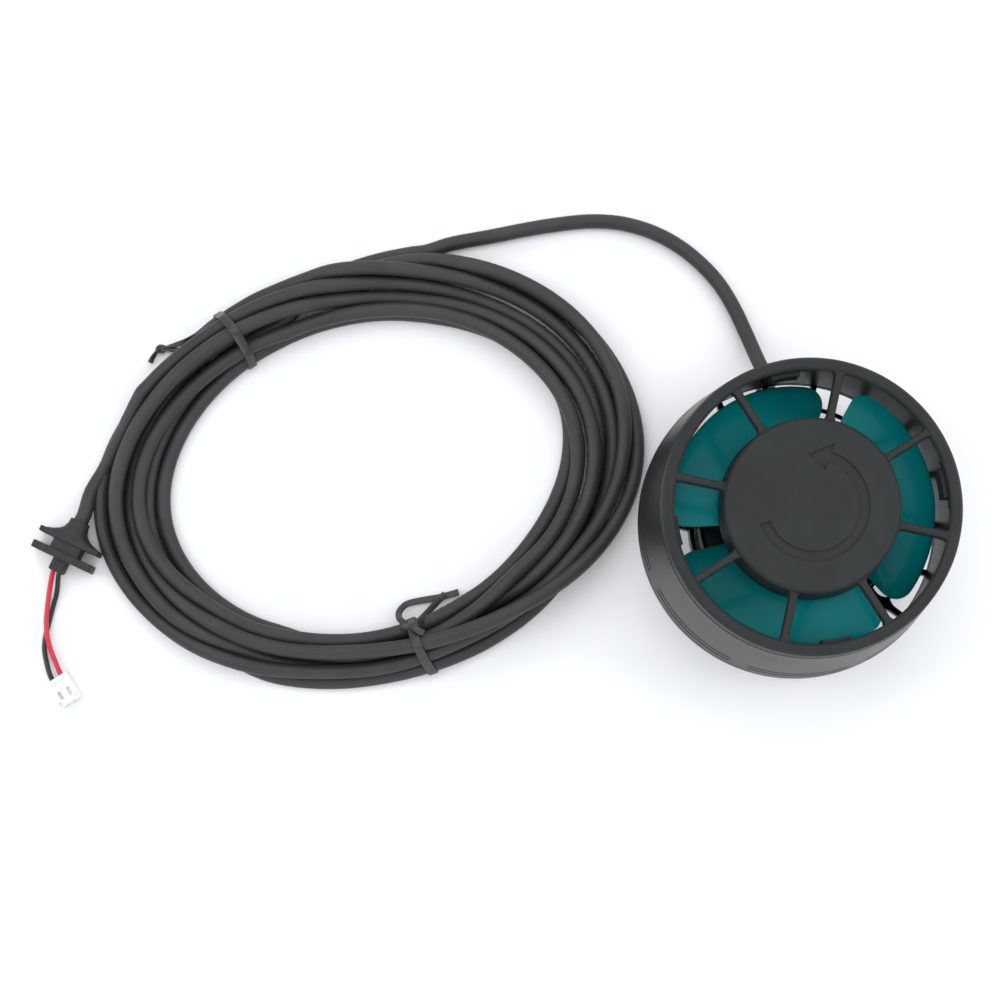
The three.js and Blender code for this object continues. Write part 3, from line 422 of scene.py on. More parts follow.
# ---------------------------------------------------------------- materials
class Look:
    """A node material. Pattern coordinates are the row frame's, in millimetres."""

    def __init__(self, name, colour, roughness, **sockets):
        self.material = bpy.data.materials.new(name)
        self.material.use_nodes = True
        self.tree = self.material.node_tree
        self.shader = self.tree.nodes["Principled BSDF"]
        self.shader.inputs["Base Color"].default_value = (*colour, 1)
        self.shader.inputs["Roughness"].default_value = roughness
        for socket, value in sockets.items():
            self.shader.inputs[socket.replace("_", " ")].default_value = value
        coordinates = self.node("ShaderNodeTexCoord")
        scale = self.node("ShaderNodeVectorMath", operation="SCALE")
        scale.inputs["Scale"].default_value = 1 / MM
        self.link(coordinates.outputs["Object"], scale.inputs[0])
        self.place = scale.outputs[0]

    def node(self, kind, **settings):
        made = self.tree.nodes.new(kind)
        for key, value in settings.items():
            setattr(made, key, value)
        return made

    def link(self, source, target):
        self.tree.links.new(source, target)

    def noise(self, per_mm, detail=3, stretch=None, rough=0.5):
        place = self.place
        if stretch:
            shaped = self.node("ShaderNodeVectorMath", operation="MULTIPLY")
            shaped.inputs[1].default_value = stretch
            self.link(place, shaped.inputs[0])
            place = shaped.outputs[0]
        noise = self.node("ShaderNodeTexNoise")
        noise.inputs["Scale"].default_value = per_mm
        noise.inputs["Detail"].default_value = detail
        noise.inputs["Roughness"].default_value = rough
        self.link(place, noise.inputs["Vector"])
        return noise.outputs["Fac"]

    def ramp(self, factor, low, high, start=0.3, end=0.7):
        mapped = self.node("ShaderNodeMapRange")
        for socket, value in (("From Min", start), ("From Max", end), ("To Min", low), ("To Max", high)):
            mapped.inputs[socket].default_value = value
        self.link(factor, mapped.inputs["Value"])
        return mapped.outputs["Result"]

    def colours(self, factor, first, second, start=0.3, end=0.7):
        mix = self.node("ShaderNodeMix", data_type="RGBA")
        mix.inputs["A"].default_value = (*first, 1)
        mix.inputs["B"].default_value = (*second, 1)
        self.link(self.ramp(factor, 0, 1, start, end), mix.inputs["Factor"])
        self.link(mix.outputs["Result"], self.shader.inputs["Base Color"])

    def roughness(self, factor, low, high):
        self.link(self.ramp(factor, low, high), self.shader.inputs["Roughness"])

    def bump(self, *heights):
        """Adds (height, depth in millimetres) pairs to the surface."""
        normal = None
        for height, depth in heights:
            bump = self.node("ShaderNodeBump")
            bump.inputs["Strength"].default_value = 1
            bump.inputs["Distance"].default_value = depth * MM
            self.link(height, bump.inputs["Height"])
            if normal:
                self.link(normal, bump.inputs["Normal"])
            normal = bump.outputs["Normal"]
        self.link(normal, self.shader.inputs["Normal"])

    def axis_distance(self):
        """Distance from the pump's axis."""
        flat = self.node("ShaderNodeVectorMath", operation="MULTIPLY")
        flat.inputs[1].default_value = (1, 1, 0)
        self.link(self.place, flat.inputs[0])
        length = self.node("ShaderNodeVectorMath", operation="LENGTH")
        self.link(flat.outputs[0], length.inputs[0])
        return length.outputs["Value"]

    def waves(self, value, spacing):
        """A smooth 0 to 1 wave of a value, with that spacing."""
        scaled = self.node("ShaderNodeMath", operation="MULTIPLY")
        scaled.inputs[1].default_value = 2 * math.pi / spacing
        self.link(value, scaled.inputs[0])
        wave = self.node("ShaderNodeMath", operation="SINE")
        self.link(scaled.outputs[0], wave.inputs[0])
        return self.ramp(wave.outputs[0], 0, 1, -1, 1)

    def height_above(self):
        split = self.node("ShaderNodeSeparateXYZ")
        self.link(self.place, split.inputs[0])
        return split.outputs["Z"]


def shade(colour, factor):
    return tuple(min(1, channel * factor) for channel in colour)


def moulded(name, colour, rough, grain, depth, **sockets):
    """Moulded plastic or rubber: fine grain, soft colour changes and a slightly uneven sheen."""
    look = Look(name, colour, rough, **sockets)
    cloud = look.noise(0.09, 4)
    look.colours(cloud, shade(colour, 0.86), shade(colour, 1.16))
    look.roughness(look.noise(0.35, 5), rough - 0.05, rough + 0.06)
    look.bump((look.noise(grain, 2), depth), (look.noise(0.25, 2), depth * 1.5))
    return look.material


def smooth_moulded(name, colour, rough, **sockets):
    """Glossy moulded plastic: broad, faint changes of colour and sheen."""
    look = Look(name, colour, rough, **sockets)
    look.colours(look.noise(0.06, 1), shade(colour, 0.9), shade(colour, 1.1))
    look.roughness(look.noise(0.04, 1), rough - 0.02, rough + 0.03)
    return look.material


def metal(name, colour, rough, stretch=(1, 1, 1), **sockets):
    look = Look(name, colour, rough, Metallic=1.0, **sockets)
    streaks = look.noise(3, 4, stretch)
    look.colours(streaks, shade(colour, 0.82), shade(colour, 1.12))
    look.roughness(streaks, rough - 0.08, rough + 0.1)
    look.bump((streaks, 0.01))
    return look.material


def laminations():
    look = Look("laminated_steel", (0.3, 0.31, 0.32), 0.4, Metallic=1.0)
    layers = look.waves(look.height_above(), 0.5)
    look.colours(layers, (0.12, 0.12, 0.13), (0.4, 0.41, 0.42), 0, 0.5)
    look.roughness(look.noise(1, 4), 0.3, 0.5)
    look.bump((layers, 0.06), (look.noise(4, 2), 0.01))
    return look.material


def enamelled_wire():
    look = Look("enamelled_wire", (0.48, 0.2, 0.07), 0.28, Metallic=1.0, Coat_Weight=0.5)
    turns = look.waves(look.axis_distance(), 0.42)
    # The colour runs darker into the grooves between turns than on their crests: painted shade in the
    # grooves.
    look.colours(turns, (0.14, 0.05, 0.02), (0.6, 0.25, 0.09), 0, 0.6)
    look.roughness(look.noise(1.5, 3), 0.22, 0.36)
    look.bump((turns, 0.14), (look.noise(2, 2), 0.02))
    return look.material


def circuit_board():
    look = Look("board", (0.02, 0.12, 0.05), 0.35, Coat_Weight=0.4)
    cells = look.node("ShaderNodeTexVoronoi", distance="MANHATTAN", feature="DISTANCE_TO_EDGE")
    cells.inputs["Scale"].default_value = 0.45
    look.link(look.place, cells.inputs["Vector"])
    look.colours(cells.outputs["Distance"], (0.06, 0.26, 0.11), (0.012, 0.09, 0.035), 0.04, 0.09)
    look.roughness(look.noise(1, 3), 0.28, 0.42)
    look.bump((look.ramp(cells.outputs["Distance"], 1, 0, 0.04, 0.09), 0.04))
    return look.material


def make_materials():
    charcoal = (0.0205, 0.0235, 0.0225)
    return {
        "guard_plastic": moulded("guard_plastic", charcoal, 0.5, 5, 0.02, Specular_IOR_Level=0.2),
        "housing_plastic": smooth_moulded("housing_plastic", (0.012, 0.014, 0.0155), 0.32,
                                          Specular_IOR_Level=0.1),
        "teal_plastic": smooth_moulded("teal_plastic", (0.001, 0.28, 0.3), 0.18, Specular_IOR_Level=0.1,
                                       Subsurface_Weight=0.12, Subsurface_Scale=0.002),
        "soft_rubber": moulded("soft_rubber", (0.016, 0.016, 0.017), 0.62, 4, 0.03),
        "magnet": metal("magnet", (0.13, 0.135, 0.145), 0.42),
        "stainless": metal("stainless", (0.58, 0.59, 0.6), 0.28, (0.1, 0.1, 6), Anisotropic=0.4),
        "laminated_steel": laminations(),
        "enamelled_wire": enamelled_wire(),
        "board": circuit_board(),
        "ceramic_rod": moulded("ceramic_rod", (0.78, 0.77, 0.73), 0.15, 2, 0.003),
        "washer_plastic": moulded("washer_plastic", (0.66, 0.63, 0.54), 0.38, 3, 0.01),
        "cable_jacket": moulded("cable_jacket", (0.028, 0.03, 0.03), 0.5, 2.5, 0.02,
                                Specular_IOR_Level=0.4),
        "tie_plastic": moulded("tie_plastic", (0.03, 0.03, 0.031), 0.34, 1.5, 0.05),
        "red_insulation": moulded("red_insulation", (0.56, 0.018, 0.045), 0.36, 3, 0.015),
        "black_insulation": moulded("black_insulation", (0.014, 0.014, 0.016), 0.36, 3, 0.015),
        "nylon": moulded("nylon", (0.82, 0.82, 0.79), 0.4, 3, 0.01,
                         Subsurface_Weight=0.15, Subsurface_Scale=0.001),
        "tinned_metal": metal("tinned_metal", (0.62, 0.6, 0.55), 0.35),
    }


# ---------------------------------------------------------------- cable pieces
def cord_curve(name, points, radius, slot, replaces):
    """A round cord as one curve."""
    curve = bpy.data.curves.new(name, "CURVE")
    curve.dimensions = "3D"
    curve.bevel_depth = radius * MM
    curve.bevel_resolution = 5
    curve.use_fill_caps = True
    line = curve.splines.new("POLY")
    line.points.add(len(points) - 1)
    line.points.foreach_set("co", np.c_[points * MM, np.ones(len(points))].ravel())
    line.use_smooth = True
    made = bpy.data.objects.new(name, curve)
    bpy.context.scene.collection.objects.link(made)
    curve.materials.append(MATERIALS[slot])
    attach(made, "housing")
    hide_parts(*replaces)
    return made


def strain_relief():
    """Tapered boot on the back cover, with flex slots round it."""
    profile = [(0.0, 24.3), (4.4, 24.3), (4.4, 25.5), (3.95, 26.2), (3.8, 26.9)]
    x, slots = 27.4, 5
    for slot in range(slots):
        radius = 3.7 - 0.19 * slot
        slot_radius = radius - 0.65
        profile += [(radius, x), (radius - 0.02, x + 1.05), (slot_radius, x + 1.2), (slot_radius, x + 1.6)]
        x += 1.8
    profile += [(2.6, x), (2.45, 36.9), (2.2, 37.3), (0.0, 37.3)]
    vertices, faces = turned(profile, 64)
    vertices = vertices[:, (2, 0, 1)] + np.array((0, 0, EXIT_Z))
    made = to_object("strain_relief_boot", turn((vertices, faces), EXIT_ANGLE))
    return finish_piece(made, "housing", "soft_rubber", ["cable_gland"])


def grommet():
    """Tapered nose that flares into the first of two flanges, with a neck, a lock flange and a stub."""
    rings = []
    sections = ((-5.7, 2.3, 2.3, 2), (-5.6, 2.6, 2.6, 2), (-4.2, 2.75, 2.7, 2), (-3, 3.2, 2.8, 2.2),
                (-2.1, 4.1, 2.95, 2.6), (-1.4, 5.4, 3.1, 3), (-0.9, 6.9, 3.25, 3.6), (-0.5, 7.9, 3.3, 4.5))
    for x, half_width, half_height, power in sections:
        ring = []
        for side in range(48):
            a = 2 * math.pi * side / 48
            cos, sin = math.cos(a), math.sin(a)
            reach = (abs(cos) ** power + abs(sin) ** power) ** (-1 / power)
            ring.append((x, half_width * reach * cos, half_height * reach * sin))
        rings.append(ring)
    made = to_object("cable_grommet", turn(swept(rings), GROMMET_ANGLE, GROMMET_CENTRE))
    blocks = [rounded_box((1.5, 16.4, 6.8), (0, 0, 0), 0.35), rounded_box((4.6, 7.8, 5.6), (2.1, 0, 0), 0.4),
              rounded_box((2, 16.4, 6.8), (4.3, 0, 0), 0.3), rounded_box((4, 4, 4), (6.6, 0, 0), 0.5)]
    combine(made, [("UNION", turn(block, GROMMET_ANGLE, GROMMET_CENTRE)) for block in blocks])
    return finish_piece(made, "housing", "soft_rubber", ["panel_grommet"])


def plug():
    """Two-way nylon plug housing with rounded edges, latch windows and keyways."""
    made = to_object("plug_housing", rounded_box((7.4, 6, 4.4), rounding=0.28))
    cuts = []
    for side in (-1, 1):
        middle = side * 1.25
        cuts += [rounded_box((9, 1.5, 1.7), (0, middle, 0), 0.12),
                 rounded_box((2.2, 0.9, 2), (1, middle, 2.2), 0.1),
                 rounded_box((2.8, 0.8, 1), (3.7, side * 2.4, 2.2), 0.1),
                 rounded_box((0.5, 1.7, 0.5), (-2.2, middle, 2.25), 0.08)]
    combine(made, [("DIFFERENCE", cut) for cut in cuts])
    cos, sin = math.cos(CONNECTOR_ANGLE), math.sin(CONNECTOR_ANGLE)
    for vertex in made.data.vertices:
        x, y, z = vertex.co
        vertex.co = (x * cos - y * sin + CONNECTOR_CENTRE[0] * MM,
                     x * sin + y * cos + CONNECTOR_CENTRE[1] * MM, z + CONNECTOR_CENTRE[2] * MM)
    return finish_piece(made, "housing", "nylon", ["connector_housing"])


def hull(points):
    """Convex outline of points in a plane, counter-clockwise."""
    points = sorted(set(map(tuple, np.round(points, 4))))

    def half(row):
        line = []
        for p in row:
            while len(line) > 1 and ((line[-1][0] - line[-2][0]) * (p[1] - line[-2][1])
                                     - (line[-1][1] - line[-2][1]) * (p[0] - line[-2][0])) <= 0:
                line.pop()
            line.append(p)
        return line[:-1]

    return np.array(half(points) + half(points[::-1]))


def band(path, normals, width, thickness, closed=False):
    """A flat band along a path, its flat side facing the normals."""
    path, normals = np.array(path), np.array(normals)
    section = rounded([(-width / 2, -thickness / 2, 0.2), (width / 2, -thickness / 2, 0.2),
                       (width / 2, thickness / 2, 0.2), (-width / 2, thickness / 2, 0.2)], 2)
    rings = []
    for index, (point, normal) in enumerate(zip(path, normals)):
        if closed:
            ahead = path[(index + 1) % len(path)] - path[index - 1]
        else:
            ahead = path[min(index + 1, len(path) - 1)] - path[max(index - 1, 0)]
        ahead /= np.linalg.norm(ahead)
        normal = normal - ahead * normal.dot(ahead)
        normal /= np.linalg.norm(normal)
        side = np.cross(normal, ahead)
        rings.append([point + side * u + normal * v for u, v in section])
    return swept(rings, closed)


def tie_strap(route, tie):
    """The strap round the turns, and the outline of the strands that it follows."""
    (cx, cy), angle = tie
    across = np.array((math.cos(angle), math.sin(angle)))
    along = np.array((-across[1], across[0]))
    offset = route[:, :2] - np.array((cx, cy))
    ahead, beside = offset @ along, offset @ across
    strands = []
    for index in np.nonzero((ahead[:-1] * ahead[1:] <= 0) & (np.abs(beside[:-1]) < 13))[0]:
        t = ahead[index] / (ahead[index] - ahead[index + 1])
        strands.append((beside[index] * (1 - t) + beside[index + 1] * t,
                        route[index, 2] * (1 - t) + route[index + 1, 2] * t))
    ring = np.array([(math.cos(a), math.sin(a)) for a in np.linspace(0, 2 * math.pi, 40, endpoint=False)])
    outline = hull(np.vstack([np.array(s) + ring * (CABLE_RADIUS + STRAP_REACH) for s in strands]))
    outline[:, 1] = np.maximum(outline[:, 1], STRAP_LOWEST_Z)
    loop = np.vstack([outline, outline[:1]])
    travelled = np.r_[0, np.cumsum(np.linalg.norm(np.diff(loop, axis=0), axis=1))]
    stops = np.linspace(0, travelled[-1], STRAP_POINTS, endpoint=False)
    outline = np.c_[np.interp(stops, travelled, loop[:, 0]), np.interp(stops, travelled, loop[:, 1])]
    path = np.array([(cx + across[0] * s, cy + across[1] * s, z) for s, z in outline])
    middle = np.array((cx, cy, 0)) + np.r_[across * outline[:, 0].mean(), outline[:, 1].mean()]
    lean = 0.9 * np.sin(np.linspace(0, 2 * math.pi, STRAP_POINTS, endpoint=False))
    leaning = path + np.outer(lean, (*along, 0))
    return band(leaning, path - middle, STRAP_WIDTH, STRAP_THICKNESS, closed=True), outline


def on_strap(outline, tie, x, y, z, above_strap=None):
    """A place on a tie's loose end: a height above the strap, where one is given, replaces z."""
    if above_strap is not None:
        (cx, cy), angle = tie
        upper = outline[outline[:, 1] > outline[:, 1].mean()]
        upper = upper[np.argsort(upper[:, 0])]
        beside = (x - cx) * math.cos(angle) + (y - cy) * math.sin(angle)
        z = np.interp(beside, upper[:, 0], upper[:, 1]) + above_strap
    return x, y, z


def tail_band(points, width, twist):
    """A loose end of a tie: a flat band, turned about its own line by twist(0 to 1) radians."""
    path = smooth_path(points, 0.4)
    normals = []
    for index in range(len(path)):
        ahead = path[min(index + 1, len(path) - 1)] - path[max(index - 1, 0)]
        ahead /= np.linalg.norm(ahead)
        side = np.cross(ahead, (0, 0, 1))
        side /= np.linalg.norm(side)
        up = np.cross(side, ahead)
        turn_by = twist(index / (len(path) - 1))
        normals.append(up * math.cos(turn_by) + side * math.sin(turn_by))
    return band(path, normals, width, TAIL_THICKNESS)


def wire_ties(route):
    """Both ties: a strap each, with the loose ends and, on the lower one, a crossed knot."""
    upper_tail = [(-145.3, 56.9, 1.6), (-148.2, 55, 1.3), (-151.3, 52.3, 1.2), (-153.9, 50.4, 1.1),
                  (-157.1, 49.1, 1), (-160.9, 48, 1), (-162.6, 46.2, 1), (-163.6, 44.4, 0.9)]
    upper_second = [(-145.8, 56.7, 1.1), (-149.6, 53.3, 1), (-152.6, 50.2, 1), (-155.3, 48.1, 0.9),
                    (-158.4, 47.9, 1), (-161, 48.6, 1), (-161.6, 47.4, 1.1), (-159.9, 47.2, 1.2)]
    lower_loop = [(-94.6, -24.6, 0, 0.7), (-96.6, -23.9, 0, 0.4), (-98.2, -22.5, 5.6), (-98.4, -20.6, 3.2),
                  (-96.6, -18.5, 1.6), (-92.5, -17.4, 0.9), (-87.9, -16.6, 0.9), (-83.3, -15.3, 0.9)]
    lower_tail = [(-94.4, -24.8, 0, 0.8), (-93.2, -23.4, 0, 0.6), (-91.6, -21.4, 5.4), (-89.8, -19.2, 3.2),
                  (-88.1, -17.2, 1.8), (-86.8, -15.8, 1.5)]
    cross_one = [(-98.2, -24.9, 0, -0.5), (-96.8, -24.8, 0, 0.5), (-95, -24.6, 0, 1.1),
                 (-93.4, -23.9, 0, 0.8),
                 (-92.3, -23.1, 0, -0.4)]
    cross_two = [(-95.4, -22.5, 0, 0.1), (-95.1, -23.4, 0, 0.9), (-94.6, -24.6, 0, 1.6),
                 (-93.5, -25.8, 0, 1.2),
                 (-91.9, -26.5, 0, 0.1)]
    edge_on = 0.5 * math.pi
    pieces = []
    for name, node, tie, tails in (
            ("tie_band_upper", "wire_tie_upper", UPPER_TIE,
             ((upper_tail, 1.3, lambda t: edge_on + 2.2 * math.pi * max(0, t - 0.35)),
              (upper_second, 1.3, lambda t: edge_on - 1.8 * math.pi * max(0, t - 0.5)))),
            ("tie_band_lower", "wire_tie_lower", LOWER_TIE,
             ((lower_loop, 1.7, lambda t: 0.6 * math.exp(-6 * t)), (lower_tail, 1.7, lambda t: 0.25),
              (cross_one, 1.7, lambda t: 0.3 * t), (cross_two, 1.7, lambda t: -0.3 * t)))):
        strap, outline = tie_strap(route, tie)
        shapes = [strap]
        for points, width, twist in tails:
            shapes.append(tail_band([on_strap(outline, tie, *point) for point in points], width, twist))
        made = to_object(name, merged(shapes))
        pieces.append(finish_piece(made, "housing", "tie_plastic", [node], 50))
    return pieces


def wires():
    """The red and black cores between the grommet and the plug."""
    red = [(-186.8, -9.7, 3.5), (-187.1, -10.5, 3.5), (-188, -14.8, 2.4), (-188.5, -19.3, 2.2),
           (-188.7, -23.1, 2.3),
           (-188.4, -26.5, 2.3), (-187.5, -30.1, 1.9), (-186.1, -33.5, 1.9), (-185, -35.9, 2.3),
           (-183.9, -37.7, 2.3)]
    black = [(-185.3, -10.5, 3.5), (-185.6, -11.2, 3.5), (-186.3, -15.4, 1.5), (-187.4, -19.3, 0.72),
             (-188.3, -23.2, 0.7),
             (-189.1, -26.7, 0.7), (-189.3, -30.1, 0.72), (-188.3, -34.3, 1.4), (-187.2, -37.1, 2.3),
             (-185.9, -39.3, 2.3)]
    return [cord_curve("core_red", smooth_path(red, 0.8), WIRE_RADIUS, "red_insulation", ["wire_red"]),
            cord_curve("core_black", smooth_path(black, 0.8), WIRE_RADIUS, "black_insulation",
                       ["wire_black"])]


# ---------------------------------------------------------------- pump pieces
def shroud_radius(z):
    """Outside radius of the tapered body."""
    return REAR_RADIUS + (FRONT_RADIUS - REAR_RADIUS) * (z - SHROUD_BACK_Z) / (RIM_FRONT_Z - SHROUD_BACK_Z)


def turn_arrow():
    """A curved arrow: the way the guard turns to come off."""
    start, neck, tip = (math.radians(a) for a in (-160, 70, 95))
    outer = [(13.3 * math.cos(a), 13.3 * math.sin(a)) for a in np.linspace(start, neck, 60)]
    inner = [(10.7 * math.cos(a), 10.7 * math.sin(a)) for a in np.linspace(neck, start, 60)]
    head = [(15.4 * math.cos(neck), 15.4 * math.sin(neck)), (12 * math.cos(tip), 12 * math.sin(tip)),
            (8.6 * math.cos(neck), 8.6 * math.sin(neck))]
    return prism(outer + head + inner, CAP_TOP_Z - 0.5, CAP_TOP_Z + 0.6)


def spoke():
    """A rib from the cap to the rim, wider at both roots, with a rounded front edge."""
    rings = []
    for radius in np.linspace(19.6, 33.1, 28):
        flare = 0.5 * sum(math.exp(-((radius - root) / 0.7) ** 2) for root in (CAP_RADIUS, 32.5))
        half = 1.0 + flare
        section = rounded([(-half, 56.6, 0.3), (half, 56.6, 0.3), (half - 0.1, SPOKE_FRONT_Z, 0.7),
                           (-half + 0.1, SPOKE_FRONT_Z, 0.7)], 4)
        rings.append([(radius, y, z) for y, z in section])
    return swept(rings)


def front_guard():
    """Rim, spokes, hollow centre cap and bayonet tabs in one moulding."""
    rim = rounded([(32.4, RIM_BACK_Z, 0.2), (shroud_radius(RIM_BACK_Z), RIM_BACK_Z, 0.25),
                   (FRONT_RADIUS, 59.3, 0.4),
                   (FRONT_RADIUS - 0.7, RIM_FRONT_Z, 0.4), (OPENING_RADIUS + 0.6, RIM_FRONT_Z, 0.35),
                   (OPENING_RADIUS, 59.4, 0.35)])
    inner, ceiling = CAP_RADIUS - CAP_WALL, CAP_TOP_Z - CAP_WALL
    cap = rounded([(4.3, 53, 0.2), (5.8, 53, 0.2), (5.8, ceiling, 0.5), (inner, ceiling, 1.4),
                   (inner + 0.2, CAP_BACK_Z, 0.3), (CAP_RADIUS + 0.8, CAP_BACK_Z, 0.3),
                   (CAP_RADIUS + 0.1, 60.2, 0.2),
                   (CAP_RADIUS - 0.5, CAP_TOP_Z, 0.2), (0, CAP_TOP_Z, 0), (0, 57.6, 0), (4.3, 57.6, 0.2)])
    made = to_object("guard", turned(rim, 180))
    tabs = around(arc_block(31.2, 32.5, 50.8, 56.9, 0, math.radians(12)), LUGS, FIRST_LUG)
    lugs = around(arc_block(31.9, 33.3, 50.8, 52.4, 0, math.radians(12)), LUGS, FIRST_LUG)
    combine(made, [("UNION", merged(around(spoke(), SPOKES, FIRST_SPOKE))), ("UNION", turned(cap, 180)),
                   ("UNION", merged(tabs)), ("UNION", merged(lugs)), ("DIFFERENCE", turn_arrow())])
    return finish_piece(made, "guard", "guard_plastic", ["front_guard"])


def shroud():
    """Outer wall with pairs of long thin grooves near its back rim, and bayonet ledges inside."""
    grooves, groove_half_arc, groove_depth = (26.6, 29.8), math.radians(19), 0.55
    heights = [SHROUD_BACK_Z + 0.25, 24.5, 26]
    for groove in grooves:
        heights += [groove + step for step in (-0.5, -0.38, -0.2, 0, 0.2, 0.38, 0.5)]
    heights = sorted(heights + [33, 38, 43, 48, 52, SHROUD_FRONT_Z - 0.35])
    sides = 360
    rows = []
    for side in range(sides):
        angle = 2 * math.pi * side / sides
        off = abs((angle + math.pi / 8) % (math.pi / 4) - math.pi / 8)
        row = [(DUCT_BACK_RADIUS + 0.2, SHROUD_BACK_Z),
               (shroud_radius(SHROUD_BACK_Z) - 0.25, SHROUD_BACK_Z)]
        inside_arc = min(1, max(0, (groove_half_arc - off) / math.radians(1)))
        for z in heights:
            cut = max(max(0, 1 - (abs(z - groove) / 0.42) ** 4) for groove in grooves)
            row.append((shroud_radius(z) - groove_depth * cut * inside_arc, z))
        row += [(shroud_radius(SHROUD_FRONT_Z) - 0.35, SHROUD_FRONT_Z),
                (shroud_radius(SHROUD_FRONT_Z) - WALL + 0.25, SHROUD_FRONT_Z),
                (shroud_radius(SHROUD_FRONT_Z) - WALL, SHROUD_FRONT_Z - 0.25),
                (DUCT_BACK_RADIUS, SHROUD_BACK_Z + 0.2)]
        rows.append([(r * math.cos(angle), r * math.sin(angle), z) for r, z in row])
    made = to_object("outer_shroud", swept(rows, closed=True))
    ledges = around(arc_block(32.8, 34.3, 52.7, 54.2, 0, math.radians(20)), LUGS, FIRST_LUG)
    combine(made, [("UNION", merged(ledges))])
    return finish_piece(made, "housing", "housing_plastic", ["shroud"])


def rear_cage():
    """Curved inlet ribs with rounded edges between three hoops."""
    def hoop(inner, outer, back_z, front_z, rounding):
        return turned(rounded([(inner, back_z, rounding), (outer, back_z, rounding),
                               (outer, front_z, rounding), (inner, front_z, rounding)]), 144)

    def curve(start, control, end, count=14):
        t = np.linspace(0, 1, count)[:, None]
        return (1 - t) ** 2 * np.array(start) + 2 * t * (1 - t) * np.array(control) + t ** 2 * np.array(end)

    back = curve((25.1, 14.0), (33.6, 14.2), (REAR_RADIUS - 0.4, 19.9), 24)
    front = curve((25.1, 17.6), (33.6, 17.8), (REAR_RADIUS - 0.9, 21.9), 24)
    rings = []
    for index, ((r0, z0), (r1, z1)) in enumerate(zip(back, front)):
        along = index / (len(back) - 1)
        half = 0.75 + 0.6 * math.exp(-(along / 0.08) ** 2) + 1.4 * math.exp(-((1 - along) / 0.1) ** 2)
        half += 0.9 * math.exp(-((r0 - 30.3) / 1.3) ** 2)
        dr, dz = r1 - r0, z1 - z0
        section = [(-half, 0.06), (-half + 0.15, 0), (half - 0.15, 0), (half, 0.06), (half, 0.94),
                   (half - 0.15, 1), (-half + 0.15, 1), (-half, 0.94)]
        rings.append([(r0 + dr * t, y, z0 + dz * t) for y, t in section])
    rib = swept(rings)
    made = to_object("inlet_cage", hoop(24.3, 25.5, 13.6, 19.6, 0.3))
    combine(made, [("UNION", merged(around(rib, RIBS))), ("UNION", hoop(29.8, 30.8, 16.7, 18.1, 0.3)),
                   ("UNION", hoop(DUCT_BACK_RADIUS, REAR_RADIUS, 19.4, 22.3, 0.4))])
    return finish_piece(made, "housing", "housing_plastic", ["rear_cage"])


def at_screws(shape):
    """A shape repeated at the four cover screws."""
    vertices, faces = shape
    return merged(around((vertices + np.array((SCREW_CIRCLE, 0, 0)), faces), 4, FIRST_SCREW))


def cylinder(radius, back_z, front_z, sides=40):
    return turned([(0, back_z), (radius, back_z), (radius, front_z), (0, front_z)], sides)


def motor_can():
    """Motor housing with a well for the rotor and four screw posts."""
    inside, ceiling = CAN_RADIUS - CAN_WALL, CAN_FRONT_Z - CAN_WALL
    profile = rounded([(0, 14, 0), (10.2, 14, 0.3), (10.2, ceiling, 0.3), (inside, ceiling, 0.6),
                       (inside, CAN_BACK_Z, 0.2),
                       (CAN_RADIUS, CAN_BACK_Z, 0.3), (CAN_RADIUS, CAN_FRONT_Z, 1.6), (9.8, CAN_FRONT_Z, 0.3),
                       (9.6, CAN_FRONT_Z - 0.35, 0.1), (9, CAN_FRONT_Z - 0.35, 0.2), (9, 15.5, 0.5),
                       (0, 15.5, 0)])
    made = to_object("motor_housing", turned(profile, 180))
    combine(made, [("UNION", at_screws(cylinder(2.3, CAN_BACK_Z, 18))),
                   ("DIFFERENCE", at_screws(cylinder(1.4, CAN_BACK_Z - 1, 16.6)))])
    return finish_piece(made, "housing", "housing_plastic", ["motor_can"])


def back_cover():
    """Back of the motor housing, with screw holes."""
    inside = CAN_RADIUS - CAN_WALL
    profile = rounded([(0, COVER_BACK_Z, 0), (CAN_RADIUS, COVER_BACK_Z, 1.6), (CAN_RADIUS, 6, 0),
                       (CAN_RADIUS, COVER_FRONT_Z, 0.3),
                       (inside, COVER_FRONT_Z, 0.2), (inside, COVER_BACK_Z + 2.6, 0.5),
                       (0, COVER_BACK_Z + 2.6, 0)])
    made = to_object("back_shell", turned(profile, 180))
    combine(made, [("DIFFERENCE", at_screws(cylinder(2.2, COVER_BACK_Z - 1, 3.9))),
                   ("DIFFERENCE", at_screws(cylinder(1.4, COVER_BACK_Z - 1, COVER_FRONT_Z)))])
    return finish_piece(made, "housing", "housing_plastic", ["back_cover"])


def seal_and_pad():
    """Seal in the housing's joint, and the ridged rubber pad on its back."""
    seal = to_object("joint_seal", turned(rounded([(22.4, 12.3, 0.15), (23.85, 12.3, 0.2), (23.85, 12.9, 0.2),
                                                   (22.4, 12.9, 0.15)], 3), 144))
    finish_piece(seal, "housing", "soft_rubber", ["seal_ring"])
    profile = [(0, 0.35, 0)]
    for radius in (3, 6.2, 9.4, 12.6, 15.8):
        profile += [(radius, 0.35, 0.1), (radius + 0.3, 0, 0.1), (radius + 2.3, 0, 0.1),
                    (radius + 2.6, 0.35, 0.1)]
    profile += [(19, 0.35, 0.1), (19.3, 0, 0.1), (20.5, 0, 0.3), (21, 0.5, 0.3), (21, 2, 0.2), (0, 2, 0)]
    pad = to_object("grip_pad", turned(rounded(profile, 2), 144))
    combine(pad, [("DIFFERENCE", at_screws(cylinder(2.2, -1, 3)))])
    finish_piece(pad, "housing", "soft_rubber", ["rubber_pad"])


